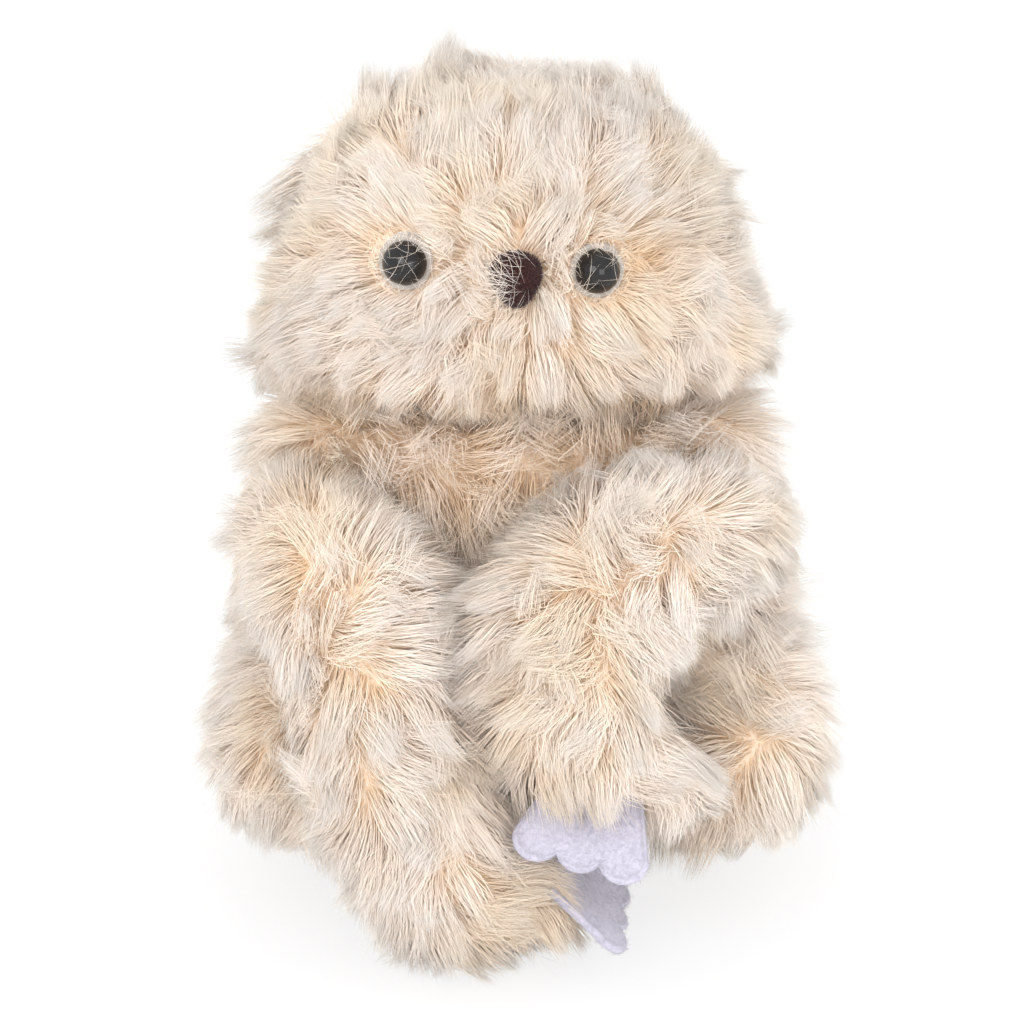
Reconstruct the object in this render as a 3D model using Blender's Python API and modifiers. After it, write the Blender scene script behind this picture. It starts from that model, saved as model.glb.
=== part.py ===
"""A sitting long-haired plush animal with two long arms folded in front and felt claws.

Metres, +Z up. The origin is on the resting plane under the middle of the toy, the face looks
towards -Y and the toy's own left side is +X. The fur cloth is modelled with its pile, so a
cover's outer face is the fluffy outline and its inner face is the back of the cloth.
"""

import math

import bmesh
import bpy
from mathutils import Matrix, Vector
from mathutils.bvhtree import BVHTree

# Gaps, cuts and cloth
gap = 0.0003
overrun = 0.03
head_wall = 0.008
body_wall = 0.008
limb_wall = 0.007
backing = 0.0012

# Body
neck_height = 0.104
body_half_width = 0.061
body_half_depth = 0.046
body_centre_y = 0.002
neck_hole_radius = 0.014
bag_height = 0.034

# Head
head_height = 0.072
head_half_width = 0.057
head_half_depth = 0.045
head_centre_y = -0.006

# Arms
arm_radius = 0.0185
arm_hole_radius = 0.005

# Legs
leg_half_width = 0.022
leg_half_height = 0.027
leg_length = 0.068
leg_back_y = 0.014
leg_hole_radius = 0.006

# Face: safety eyes and nose, each a shaft that a washer holds behind the cloth
eye_radius = 0.0045
eye_dome = 0.0042
ring_radius = 0.0063
ring_thickness = 0.001
nose_width = 0.0112
nose_height = 0.0114
nose_depth = 0.0068
shaft_radius = 0.00175
shaft_length = 0.0065
washer_radius = 0.006
washer_thickness = 0.0012

# Felt claws
claw_width = 0.028
claw_length = 0.020
claw_root_width = 0.018
felt_thickness = 0.0018
lobe_notch = 30.0

# Smoothness
ring_points = 6
fine_steps = 2
core_steps = 1
turn_steps = 16
arc_steps = 8
dome_steps = 6

# Rings of each form from its first end to its last: place, half width and half depth.
# A form that stands up has height shares; the others have shares of the sizes named beside them.
body_ring_shares = (
    (-0.015, 0.66, 0.66),
    (0.13, 0.97, 0.95),
    (0.42, 1.04, 1.04),
    (0.72, 1.03, 0.99),
    (0.93, 0.86, 0.82),
    (1.045, 0.60, 0.60),
)
head_ring_shares = (
    (-0.08, 0.76, 0.74),
    (0.12, 1.06, 1.00),
    (0.42, 0.99, 1.04),
    (0.72, 0.90, 0.96),
    (0.95, 0.56, 0.60),
    (1.05, 0.22, 0.24),
)
# How far the middle of the face stands out at each head ring, where the pile is short
face_front_shares = (1.0, 1.0, 0.92, 0.97, 1.0, 1.0)
# x of body_half_width, y of arm_radius in front of the belly, z of neck_height, radius of arm_radius
right_arm_ring_shares = (
    (-0.80, -0.89, 0.81, 0.55),
    (-0.72, -0.32, 0.79, 0.87),
    (-0.58, 0.50, 0.72, 1.04),
    (-0.42, 1.10, 0.46, 1.04),
    (-0.20, 1.46, 0.215, 0.86),
    (0.03, 1.46, 0.155, 0.76),
    (0.20, 1.46, 0.135, 0.56),
)
left_arm_ring_shares = (
    (0.85, -0.62, 0.81, 0.50),
    (0.72, -0.32, 0.81, 0.87),
    (0.36, 0.50, 0.79, 1.00),
    (0.15, 1.18, 0.64, 1.02),
    (0.20, 1.48, 0.49, 0.88),
    (0.43, 1.50, 0.42, 0.66),
    (0.60, 1.38, 0.40, 0.36),
)
# x of body_half_width, y of leg_length forwards from leg_back_y, z of leg_half_height,
# then half width of leg_half_width and half height of leg_half_height
leg_ring_shares = (
    (0.64, 0.00, 1.11, 0.50, 0.50),
    (0.72, 0.22, 1.03, 0.96, 0.94),
    (0.78, 0.52, 0.98, 1.06, 1.03),
    (0.76, 0.80, 0.88, 0.93, 0.88),
    (0.73, 1.00, 0.81, 0.48, 0.46),
)

# Places on the face: shares of head_half_width and of head_height above the neck plane
right_eye_share = (-0.370, 0.508)
left_eye_share = (0.293, 0.489)
nose_share = (0.014, 0.478)
eye_yaw = 12.0
face_pitch = 4.0

# Nose: its width at the chin side and at the brow side, and the cage's size before smoothing
nose_chin_share = 0.62
nose_brow_share = 1.12
nose_cage_share = 1.2

# Claw roots as shares of arm_radius from the arm ring that carries them, then the directions
# across the lobes and square to the felt
right_claw_ring = 5
right_claw_share = (0.36, 0.03, 0.24)
right_claw_across = Vector((0.11, 0.98, 0.14))
right_claw_facing = Vector((0.61, -0.17, 0.74))
left_claw_ring = 4
left_claw_share = (0.29, -0.16, -0.50)
left_claw_across = Vector((0.96, -0.18, -0.21))
left_claw_facing = Vector((0.0, -0.75, 0.66))

body_front_y = body_centre_y - body_half_depth
shoulder_ring = 1

# Upright axes of the limbs: x of body_half_width, then y behind the belly's front in arm_radius
# for an arm, and y in front of leg_back_y in leg_length for a leg
arm_axis_share = (0.787, 0.757)
leg_axis_share = (0.951, 0.03)


def clear_scene():
    for thing in list(bpy.data.objects):
        bpy.data.objects.remove(thing, do_unlink=True)
    for group in list(bpy.data.collections):
        bpy.data.collections.remove(group)


def new_collection(name):
    group = bpy.data.collections.new(name)
    bpy.context.scene.collection.children.link(group)
    return group


def new_object(name, mesh, group):
    thing = bpy.data.objects.new(name, mesh)
    group.objects.link(thing)
    return thing


def material(name, colour, roughness, metallic=0.0):
    made = bpy.data.materials.new(name)
    made.use_nodes = True
    shader = made.node_tree.nodes["Principled BSDF"]
    shader.inputs["Base Color"].default_value = (*colour, 1.0)
    shader.inputs["Roughness"].default_value = roughness
    shader.inputs["Metallic"].default_value = metallic
    return made


def hide_cutter(thing):
    thing.hide_render = True
    thing.display_type = "WIRE"


def cut(thing, cutter, operation="DIFFERENCE"):
    """Boolean of thing with a cutter, which stays in its own collection."""
    modifier = thing.modifiers.new(operation.lower(), "BOOLEAN")
    modifier.operation = operation
    modifier.solver = "EXACT"
    modifier.object = cutter
    return thing


def smooth(thing, level):
    """Subdivision Surface, the same in the viewport and the render."""
    modifier = thing.modifiers.new("smooth", "SUBSURF")
    modifier.levels = level
    modifier.render_levels = level
    return thing


def soft_form(name, rings, side, group, level, grow=0.0, front_shares=None):
    """A closed soft form: a cage of rings along a path, smoothed.

    Each ring is (centre, half width along side, half width across it), and side is carried
    along the path without twist. grow makes the form larger all round, or smaller when it is
    negative, and moves both ends along the path. front_shares draw the middle of the side
    opposite to the form's third direction in, ring by ring.
    """
    cage_factor = 3.0 / (2.0 + math.cos(2.0 * math.pi / ring_points))
    centres = [Vector(ring[0]) for ring in rings]
    tangents = []
    for i in range(len(centres)):
        ahead = centres[min(i + 1, len(centres) - 1)]
        behind = centres[max(i - 1, 0)]
        tangents.append((ahead - behind).normalized())
    centres[0] = centres[0] - tangents[0] * grow
    centres[-1] = centres[-1] + tangents[-1] * grow
    mesh = bpy.data.meshes.new(name)
    bm = bmesh.new()
    loops = []
    across = side
    front_shares = front_shares or [1.0] * len(rings)
    for centre, tangent, ring, front in zip(centres, tangents, rings, front_shares):
        across = (across - tangent * across.dot(tangent)).normalized()
        other = tangent.cross(across)
        half_u = max(ring[1] + grow, ring[1] * 0.3) * cage_factor
        half_v = max(ring[2] + grow, ring[2] * 0.3) * cage_factor
        loop = []
        for k in range(ring_points):
            angle = 2.0 * math.pi * (k + 0.5) / ring_points
            drawn_in = 1.0 + (front - 1.0) * max(-math.sin(angle), 0.0) ** ring_points
            v = half_v * drawn_in * math.sin(angle)
            place = centre + across * (half_u * math.cos(angle)) + other * v
            loop.append(bm.verts.new(place))
        loops.append(loop)
    for near, far in zip(loops, loops[1:]):
        for k in range(ring_points):
            after = (k + 1) % ring_points
            bm.faces.new((near[k], near[after], far[after], far[k]))
    bm.faces.new(list(reversed(loops[0])))
    bm.faces.new(loops[-1])
    bmesh.ops.recalc_face_normals(bm, faces=bm.faces)
    bm.to_mesh(mesh)
    bm.free()
    mesh.shade_smooth()
    return smooth(new_object(name, mesh, group), level)


def block(name, low, high, group):
    """A box cutter between two corners."""
    bm = bmesh.new()
    bmesh.ops.create_cube(bm, size=1.0)
    size = [b - a for a, b in zip(low, high)]
    middle = [(a + b) / 2.0 for a, b in zip(low, high)]
    bmesh.ops.scale(bm, vec=size, verts=bm.verts)
    bmesh.ops.translate(bm, vec=middle, verts=bm.verts)
    mesh = bpy.data.meshes.new(name)
    bm.to_mesh(mesh)
    bm.free()
    return new_object(name, mesh, group)


def rod(name, radius, low, high, place, group):
    """A cylinder along the place's own z, from low to high."""
    bm = bmesh.new()
    bmesh.ops.create_cone(
        bm,
        cap_ends=True,
        segments=turn_steps,
        radius1=radius,
        radius2=radius,
        depth=high - low,
    )
    bmesh.ops.translate(bm, vec=(0.0, 0.0, (low + high) / 2.0), verts=bm.verts)
    mesh = bpy.data.meshes.new(name)
    bm.to_mesh(mesh)
    bm.free()
    thing = new_object(name, mesh, group)
    thing.matrix_world = place
    return thing


def turned(name, profile, place, group):
    """A turned piece: the profile (radius, height) runs down its outer side."""
    mesh = bpy.data.meshes.new(name)
    points = [(radius, 0.0, height) for radius, height in profile]
    mesh.from_pydata(points, [(i, i + 1) for i in range(len(points) - 1)], [])
    thing = new_object(name, mesh, group)
    modifier = thing.modifiers.new("turn", "SCREW")
    modifier.steps = turn_steps
    modifier.render_steps = turn_steps
    modifier.use_merge_vertices = True
    modifier.merge_threshold = gap / 10.0
    thing.matrix_world = place
    return thing


def facing(point, yaw, pitch):
    """A place at point whose z looks out of the face, turned sideways and upwards."""
    turn = Matrix.Rotation(math.radians(yaw), 4, "Z")
    tip = Matrix.Rotation(math.radians(90.0 - pitch), 4, "X")
    return Matrix.Translation(point) @ turn @ tip


def axes_place(point, x_axis, z_axis):
    """A place at point with the given x and z axes, made square."""
    z = z_axis.normalized()
    x = (x_axis - z * x_axis.dot(z)).normalized()
    y = z.cross(x)
    turn = Matrix((x, y, z)).transposed().to_4x4()
    return Matrix.Translation(point) @ turn


def face_point(head_form, share):
    """Where a line from the front at a face share first meets the evaluated head form."""
    bpy.context.view_layer.update()
    graph = bpy.context.evaluated_depsgraph_get()
    tree = BVHTree.FromObject(head_form, graph)
    start = Vector(
        (
            share[0] * head_half_width,
            head_centre_y - head_half_depth - overrun,
            neck_height + share[1] * head_height,
        )
    )
    return tree.ray_cast(start, Vector((0.0, 1.0, 0.0)))[0]


def upright_rings(shares, base, height, half_width, half_depth, centre_y):
    return [
        ((0.0, centre_y, base + z * height), w * half_width, d * half_depth)
        for z, w, d in shares
    ]


def arm_rings(shares):
    return [
        (
            (x * body_half_width, body_front_y - y * arm_radius, z * neck_height),
            r * arm_radius,
            r * arm_radius,
        )
        for x, y, z, r in shares
    ]


def leg_rings(sign):
    return [
        (
            (sign * x * body_half_width, leg_back_y - y * leg_length, z * leg_half_height),
            w * leg_half_width,
            h * leg_half_height,
        )
        for x, y, z, w, h in leg_ring_shares
    ]


def hang_on(name, place, nodes, group):
    """An empty on a joint's axis, which carries the pieces that turn about it."""
    axis = new_object(name, None, group)
    axis.location = place
    bpy.context.view_layer.update()
    for node in nodes:
        thing = bpy.data.objects[node]
        thing.parent = axis
        thing.matrix_parent_inverse = axis.matrix_world.inverted()


def hang_pieces(parts):
    """Each moving body hangs on its own axis: the head at the neck, the limbs at their seams."""
    face = ["nose", "nose_washer"]
    for eye in ("left_eye", "right_eye"):
        face += [eye, eye + "_ring", eye + "_washer"]
    neck = (0.0, body_centre_y, neck_height)
    hang_on("head_axis", neck, ["head_cover", "head_stuffing"] + face, parts)
    for side_name, sign, shares in (
        ("left", 1.0, left_arm_ring_shares),
        ("right", -1.0, right_arm_ring_shares),
    ):
        shoulder = (
            sign * arm_axis_share[0] * body_half_width,
            body_front_y + arm_axis_share[1] * arm_radius,
            shares[shoulder_ring][2] * neck_height,
        )
        limb = [side_name + "_arm_cover", side_name + "_arm_stuffing", side_name + "_claw_felt"]
        hang_on(side_name + "_arm_axis", shoulder, limb, parts)
        hip = (
            sign * leg_axis_share[0] * body_half_width,
            leg_back_y - leg_axis_share[1] * leg_length,
            leg_half_height,
        )
        limb = [side_name + "_leg_cover", side_name + "_leg_stuffing"]
        hang_on(side_name + "_leg_axis", hip, limb, parts)


def make_body(parts, cutters, fur, filling, pellets):
    rings = upright_rings(
        body_ring_shares, 0.0, neck_height, body_half_width, body_half_depth, body_centre_y
    )
    side = Vector((1.0, 0.0, 0.0))
    neck = Matrix.Translation((0.0, body_centre_y, neck_height))
    reach = body_half_width + overrun
    slab = block(
        "body_limits", (-reach, -reach, 0.0), (reach, reach, neck_height - gap), cutters
    )
    hole = rod("body_neck_hole", neck_hole_radius, -body_wall * 2.0, overrun, neck, cutters)
    hollow = soft_form("body_hollow", rings, side, cutters, core_steps, -body_wall)

    cover = soft_form("body_cover", rings, side, parts, fine_steps)
    cut(cover, slab, "INTERSECT")
    cut(cover, hollow)
    cut(cover, hole)
    cover.data.materials.append(fur)

    core = soft_form("body_stuffing", rings, side, parts, core_steps, -body_wall - gap)
    upper = block(
        "stuffing_limits", (-reach, -reach, bag_height + gap), (reach, reach, neck_height + reach), cutters
    )
    plug = rod(
        "neck_plug", neck_hole_radius - gap, -body_wall * 2.0, head_wall / 2.0, neck, cutters
    )
    cut(core, upper, "INTERSECT")
    cut(core, plug, "UNION")
    core.data.materials.append(filling)

    bag = soft_form("seat_bean_bag", rings, side, parts, core_steps, -body_wall - gap)
    lower = block("bag_limits", (-reach, -reach, -reach), (reach, reach, bag_height), cutters)
    cut(bag, lower, "INTERSECT")
    bag.data.materials.append(pellets)
    return soft_form("body_clearance", rings, side, cutters, fine_steps, gap)


def head_fixing(name, place, cover, core, cutters, parts, pocket_radius, plastic):
    """The pocket in the pile, the hole in the cloth and the washer behind it for one shaft."""
    pocket = rod(name + "_pocket", pocket_radius, backing, overrun, place, cutters)
    hole = rod(name + "_hole", shaft_radius + gap, -overrun / 2.0, overrun, place, cutters)
    room = rod(
        name + "_washer_room",
        washer_radius + gap,
        -washer_thickness - 3.0 * gap,
        -gap,
        place,
        cutters,
    )
    for cutter in (pocket, hole, room):
        cut(cover, cutter)
    recess = rod(
        name + "_washer_recess",
        washer_radius + gap,
        -washer_thickness - 3.0 * gap,
        overrun,
        place,
        cutters,
    )
    for cutter in (hole, recess):
        cut(core, cutter)
    bottom, top = -washer_thickness - 2.0 * gap, -2.0 * gap
    inner = shaft_radius + gap
    profile = (
        (inner, top),
        (washer_radius, top),
        (washer_radius, bottom),
        (inner, bottom),
        (inner, top),
    )
    washer = turned(name + "_washer", profile, place, parts)
    washer.data.materials.append(plastic)


def make_eye(name, share, yaw, inner_form, cover, core, cutters, parts, looks):
    place = facing(face_point(inner_form, share), yaw, face_pitch)
    head_fixing(name, place, cover, core, cutters, parts, ring_radius + gap, looks["plastic"])

    ring_low = backing + gap
    ring_high = ring_low + ring_thickness
    hole = shaft_radius + gap
    ring_profile = (
        (hole, ring_high),
        (eye_radius, ring_high),
        (ring_radius - ring_thickness / 2.0, ring_high - ring_thickness / 4.0),
        (ring_radius, ring_low + ring_thickness / 2.0),
        (ring_radius, ring_low),
        (hole, ring_low),
        (hole, ring_high),
    )
    ring = turned(name + "_ring", ring_profile, place, parts)
    ring.data.materials.append(looks["ring"])

    base = ring_high + gap
    dome = [
        (
            eye_radius * math.sin(math.pi / 2.0 * i / dome_steps),
            base + eye_dome * math.cos(math.pi / 2.0 * i / dome_steps),
        )
        for i in range(dome_steps + 1)
    ]
    shaft = [(shaft_radius, base), (shaft_radius, -shaft_length), (0.0, -shaft_length)]
    eye = turned(name, dome + shaft, place, parts)
    eye.data.materials.append(looks["eye"])


def make_nose(inner_form, cover, core, cutters, parts, looks):
    place = facing(face_point(inner_form, nose_share), 0.0, face_pitch)
    pocket_radius = nose_height / 2.0 + gap * 2.0
    head_fixing("nose", place, cover, core, cutters, parts, pocket_radius, looks["plastic"])

    bm = bmesh.new()
    bmesh.ops.create_cube(bm, size=1.0)
    for vert in bm.verts:
        vert.co.x *= nose_chin_share if vert.co.y < 0.0 else nose_brow_share
    size = [length * nose_cage_share for length in (nose_width, nose_height, nose_depth)]
    bmesh.ops.scale(bm, vec=size, verts=bm.verts)
    low = min(vert.co.z for vert in bm.verts)
    sunk = nose_depth * (nose_cage_share - 1.0) / 2.0
    bmesh.ops.translate(bm, vec=(0.0, 0.0, backing + gap - low - sunk), verts=bm.verts)
    mesh = bpy.data.meshes.new("nose")
    bm.to_mesh(mesh)
    bm.free()
    mesh.shade_smooth()
    nose = smooth(new_object("nose", mesh, parts), fine_steps)
    nose.matrix_world = place
    shaft = rod("nose_shaft", shaft_radius, -shaft_length, backing + nose_depth / 2.0, place, cutters)
    cut(nose, shaft, "UNION")
    nose.data.materials.append(looks["nose"])


def make_head(parts, cutters, looks):
    rings = upright_rings(
        head_ring_shares, neck_height, head_height, head_half_width, head_half_depth, head_centre_y
    )
    side = Vector((1.0, 0.0, 0.0))
    reach = head_half_width + overrun
    above = block(
        "head_limits",
        (-reach, -reach, neck_height),
        (reach, reach, neck_height + head_height + overrun),
        cutters,
    )
    neck = Matrix.Translation((0.0, body_centre_y, neck_height))
    hole = rod("head_neck_hole", neck_hole_radius, -overrun, head_wall * 1.5, neck, cutters)
    hollow = soft_form("head_hollow", rings, side, cutters, core_steps, -head_wall)

    cover = soft_form(
        "head_cover", rings, side, parts, fine_steps, front_shares=face_front_shares
    )
    cut(cover, above, "INTERSECT")
    cut(cover, hollow)
    cut(cover, hole)
    cover.data.materials.append(looks["fur"])

    core = soft_form("head_stuffing", rings, side, parts, core_steps, -head_wall - gap)
    core_floor = block(
        "head_stuffing_limits",
        (-reach, -reach, neck_height + head_wall / 2.0 + gap),
        (reach, reach, neck_height + head_height + overrun),
        cutters,
    )
    cut(core, core_floor, "INTERSECT")
    core.data.materials.append(looks["filling"])

    make_eye("right_eye", right_eye_share, -eye_yaw, hollow, cover, core, cutters, parts, looks)
    make_eye("left_eye", left_eye_share, eye_yaw, hollow, cover, core, cutters, parts, looks)
    make_nose(hollow, cover, core, cutters, parts, looks)


def claw_outline():
    """Root edge, flaring sides and three round lobes, in the plate's own plane, lobes at -y.

    The lobes are equal arcs that meet in notches, each notch lobe_notch degrees below the
    lobes' middles.
    """
    notch = math.radians(lobe_notch)
    lobe = claw_width / (2.0 + 4.0 * math.cos(notch))
    knuckle = claw_length - lobe
    points = [(claw_root_width / 2.0, 0.0), (-claw_root_width / 2.0, 0.0)]
    for k, (before, after) in enumerate(((0.0, notch), (notch, notch), (notch, 0.0))):
        middle = (k - 1) * 2.0 * lobe * math.cos(notch)
        first = math.pi + before
        last = 2.0 * math.pi - after
        for i in range(min(k, 1), arc_steps + 1):
            angle = first + (last - first) * i / arc_steps
            points.append((middle + lobe * math.cos(angle), lobe * math.sin(angle) - knuckle))
    return points


def felt_plate(name, place, group, grow=0.0):
    """The flat felt piece, as a filled curve outline with its thickness."""
    curve = bpy.data.curves.new(name, "CURVE")
    curve.dimensions = "2D"
    curve.fill_mode = "BOTH"
    curve.extrude = felt_thickness / 2.0 + grow
    spline = curve.splines.new("POLY")
    outline = claw_outline()
    if grow:
        half = claw_width / 2.0 + grow
        outline = [(half, grow), (-half, grow), (-half, -claw_length), (half, -claw_length)]
    spline.points.add(len(outline) - 1)
    for point, (x, y) in zip(spline.points, outline):
        point.co = (x, y, 0.0, 1.0)
    spline.use_cyclic_u = True
    drawn = bpy.data.objects.new(name + "_outline", curve)
    group.objects.link(drawn)
    bpy.context.view_layer.update()
    graph = bpy.context.evaluated_depsgraph_get()
    mesh = bpy.data.meshes.new_from_object(drawn.evaluated_get(graph))
    bpy.data.objects.remove(drawn)
    bm = bmesh.new()
    bm.from_mesh(mesh)
    bmesh.ops.remove_doubles(bm, verts=bm.verts, dist=gap / 30.0)
    bmesh.ops.recalc_face_normals(bm, faces=bm.faces)
    bm.to_mesh(mesh)
    bm.free()
    mesh.name = name
    plate = new_object(name, mesh, group)
    plate.matrix_world = place
    return plate


def make_arm(side_name, shares, body_clearance, others, claw, parts, cutters, looks):
    rings = arm_rings(shares)
    up = Vector((0.0, 0.0, 1.0))
    shoulder = Vector(rings[shoulder_ring][0])
    hollow = soft_form(side_name + "_arm_hollow", rings, up, cutters, core_steps, -limb_wall)
    to_body = Vector((0.0, body_centre_y, shoulder.z)) - shoulder
    hole_place = axes_place(shoulder, up, to_body)
    hole = rod(
        side_name + "_arm_hole", arm_hole_radius, 0.0, arm_radius + overrun, hole_place, cutters
    )

    cover = soft_form(side_name + "_arm_cover", rings, up, parts, fine_steps)
    cut(cover, body_clearance)
    for other in others:
        cut(cover, other)
    cut(cover, hollow)
    cut(cover, hole)
    cover.data.materials.append(looks["fur"])

    core = soft_form(
        side_name + "_arm_stuffing", rings, up, parts, core_steps, -limb_wall - gap
    )
    cut(core, body_clearance)
    core.data.materials.append(looks["filling"])

    carrier = Vector(rings[claw["ring"]][0])
    root = carrier + Vector(claw["share"]) * arm_radius
    place = axes_place(root, claw["across"], claw["facing"])
    plate = felt_plate(side_name + "_claw_felt", place, parts)
    plate.data.materials.append(looks["felt"])
    slot = felt_plate(side_name + "_claw_slot", place, cutters, gap)
    cut(cover, slot)
    cut(core, slot)
    return soft_form(side_name + "_arm_clearance", rings, up, cutters, fine_steps, gap)


def make_leg(side_name, sign, body_clearance, parts, cutters, looks):
    rings = leg_rings(sign)
    side = Vector((1.0, 0.0, 0.0))
    reach = leg_length + leg_half_height
    middle = Vector(rings[len(rings) // 2][0])
    ground = block(
        side_name + "_leg_limits",
        (middle.x - reach, middle.y - reach, 0.0),
        (middle.x + reach, middle.y + reach, reach),
        cutters,
    )
    hollow = soft_form(side_name + "_leg_hollow", rings, side, cutters, core_steps, -limb_wall)
    inward = Vector((-sign, 0.0, 0.0))
    front = Vector(rings[-3][0])
    hole_place = axes_place(front, Vector((0.0, 0.0, 1.0)), inward)
    hole = rod(side_name + "_leg_hole", leg_hole_radius, 0.0, leg_half_width * 2.0, hole_place, cutters)

    cover = soft_form(side_name + "_leg_cover", rings, side, parts, fine_steps)
    cut(cover, ground, "INTERSECT")
    cut(cover, body_clearance)
    cut(cover, hollow)
    cut(cover, hole)
    cover.data.materials.append(looks["fur"])

    core = soft_form(side_name + "_leg_stuffing", rings, side, parts, core_steps, -limb_wall - gap)
    cut(core, body_clearance)
    core.data.materials.append(looks["filling"])


def main():
    clear_scene()
    parts = new_collection("plush_sloth")
    cutters = new_collection("cutters")
    looks = {
        "fur": material("fur_cloth", (0.88, 0.78, 0.66), 0.95),
        "filling": material("fibre_filling", (0.93, 0.93, 0.91), 1.0),
        "eye": material("eye_plastic", (0.012, 0.012, 0.014), 0.08),
        "ring": material("eye_ring", (0.72, 0.69, 0.66), 0.4),
        "nose": material("nose_flock", (0.045, 0.014, 0.012), 0.9),
        "plastic": material("washer_plastic", (0.85, 0.85, 0.83), 0.45),
        "felt": material("claw_felt", (0.62, 0.60, 0.70), 0.95),
    }
    pellets = material("pellet_bag_cloth", (0.80, 0.79, 0.76), 0.9)

    body_clearance = make_body(parts, cutters, looks["fur"], looks["filling"], pellets)
    make_head(parts, cutters, looks)

    left_claw = {
        "ring": left_claw_ring,
        "share": left_claw_share,
        "across": left_claw_across,
        "facing": left_claw_facing,
    }
    right_claw = {
        "ring": right_claw_ring,
        "share": right_claw_share,
        "across": right_claw_across,
        "facing": right_claw_facing,
    }
    left_clearance = make_arm(
        "left", left_arm_ring_shares, body_clearance, (), left_claw, parts, cutters, looks
    )
    make_arm(
        "right",
        right_arm_ring_shares,
        body_clearance,
        (left_clearance,),
        right_claw,
        parts,
        cutters,
        looks,
    )
    for side_name, sign in (("left", 1.0), ("right", -1.0)):
        make_leg(side_name, sign, body_clearance, parts, cutters, looks)
    hang_pieces(parts)
    for thing in cutters.objects:
        hide_cutter(thing)


main()
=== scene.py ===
"""Looks of a sitting long-pile plush animal: pile, eyes, nose, felt claws and a plain stage.

Metres, +Z up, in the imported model's frame: the face looks towards -Y and the toy's own left side
is +X. Every furred form is a padded skin with locks of tapered hairs standing on it.
"""

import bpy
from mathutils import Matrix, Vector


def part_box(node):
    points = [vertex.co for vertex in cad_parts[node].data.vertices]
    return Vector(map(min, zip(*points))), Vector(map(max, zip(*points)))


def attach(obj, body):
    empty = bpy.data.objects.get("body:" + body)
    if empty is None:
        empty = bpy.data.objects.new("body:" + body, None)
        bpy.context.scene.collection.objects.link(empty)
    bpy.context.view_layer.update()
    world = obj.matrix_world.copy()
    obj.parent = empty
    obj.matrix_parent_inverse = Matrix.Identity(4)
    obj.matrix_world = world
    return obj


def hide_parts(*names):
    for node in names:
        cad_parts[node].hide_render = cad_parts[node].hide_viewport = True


bl_info = {
    "name": "Long-pile plush animal",
    "version": (1, 0, 0),
    "blender": (4, 5, 0),
    "location": "3D View > Sidebar > Plush",
    "description": "Builds the pile, face, felt claws and stage of a sitting plush animal",
    "category": "Add Mesh",
}

import math

import bpy
import numpy as np
from bpy.props import FloatProperty, FloatVectorProperty, IntProperty, PointerProperty
from mathutils import Vector

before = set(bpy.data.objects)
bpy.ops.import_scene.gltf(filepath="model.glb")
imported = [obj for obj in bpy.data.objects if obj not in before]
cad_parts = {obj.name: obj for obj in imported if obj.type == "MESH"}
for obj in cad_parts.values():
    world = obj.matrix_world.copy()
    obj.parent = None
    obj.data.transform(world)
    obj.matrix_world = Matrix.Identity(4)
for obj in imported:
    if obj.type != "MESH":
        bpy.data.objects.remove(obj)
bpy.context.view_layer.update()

DOWN = np.array((0.0, 0.0, -1.0))
UP = np.array((0.0, 0.0, 1.0))
SIDE = np.array((1.0, 0.0, 0.0))


class PlushFur(bpy.types.PropertyGroup):
    """Sizes and colours of the pile."""

    head_hairs: IntProperty(name="Head hairs", description="Hairs on the head", default=88000, min=100)
    body_hairs: IntProperty(name="Body hairs", description="Hairs on the body", default=66000, min=100)
    arm_hairs: IntProperty(name="Arm hairs", description="Hairs on each arm", default=32000, min=100)
    leg_hairs: IntProperty(name="Leg hairs", description="Hairs on each leg", default=16500, min=100)
    under: FloatProperty(
        name="Undercoat", description="Share of straight hairs", default=0.45, subtype="FACTOR"
    )
    inset: FloatProperty(
        name="Inset",
        description="How far the cloth lies inside the fluffy outline",
        default=0.0068,
        unit="LENGTH",
    )
    pile: FloatProperty(
        name="Pile", description="Length of the body's hairs", default=0.0165, unit="LENGTH"
    )
    width: FloatProperty(
        name="Hair width", description="Width of a hair lock at its root", default=0.00026, unit="LENGTH"
    )
    small_lock: FloatProperty(
        name="Small locks", description="Distance between small locks", default=0.0019, unit="LENGTH"
    )
    big_lock: FloatProperty(
        name="Big locks", description="Distance between big locks", default=0.0058, unit="LENGTH"
    )
    # The root's tan is partly the hair's own colour and partly painted shade deep in the pile.
    root: FloatVectorProperty(
        name="Root", description="Colour at the root", default=(0.94, 0.71, 0.50), subtype="COLOR"
    )
    middle: FloatVectorProperty(
        name="Middle", description="Colour half way", default=(0.97, 0.828, 0.712), subtype="COLOR"
    )
    tip: FloatVectorProperty(
        name="Tip", description="Colour at the tip", default=(0.995, 0.935, 0.878), subtype="COLOR"
    )


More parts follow.
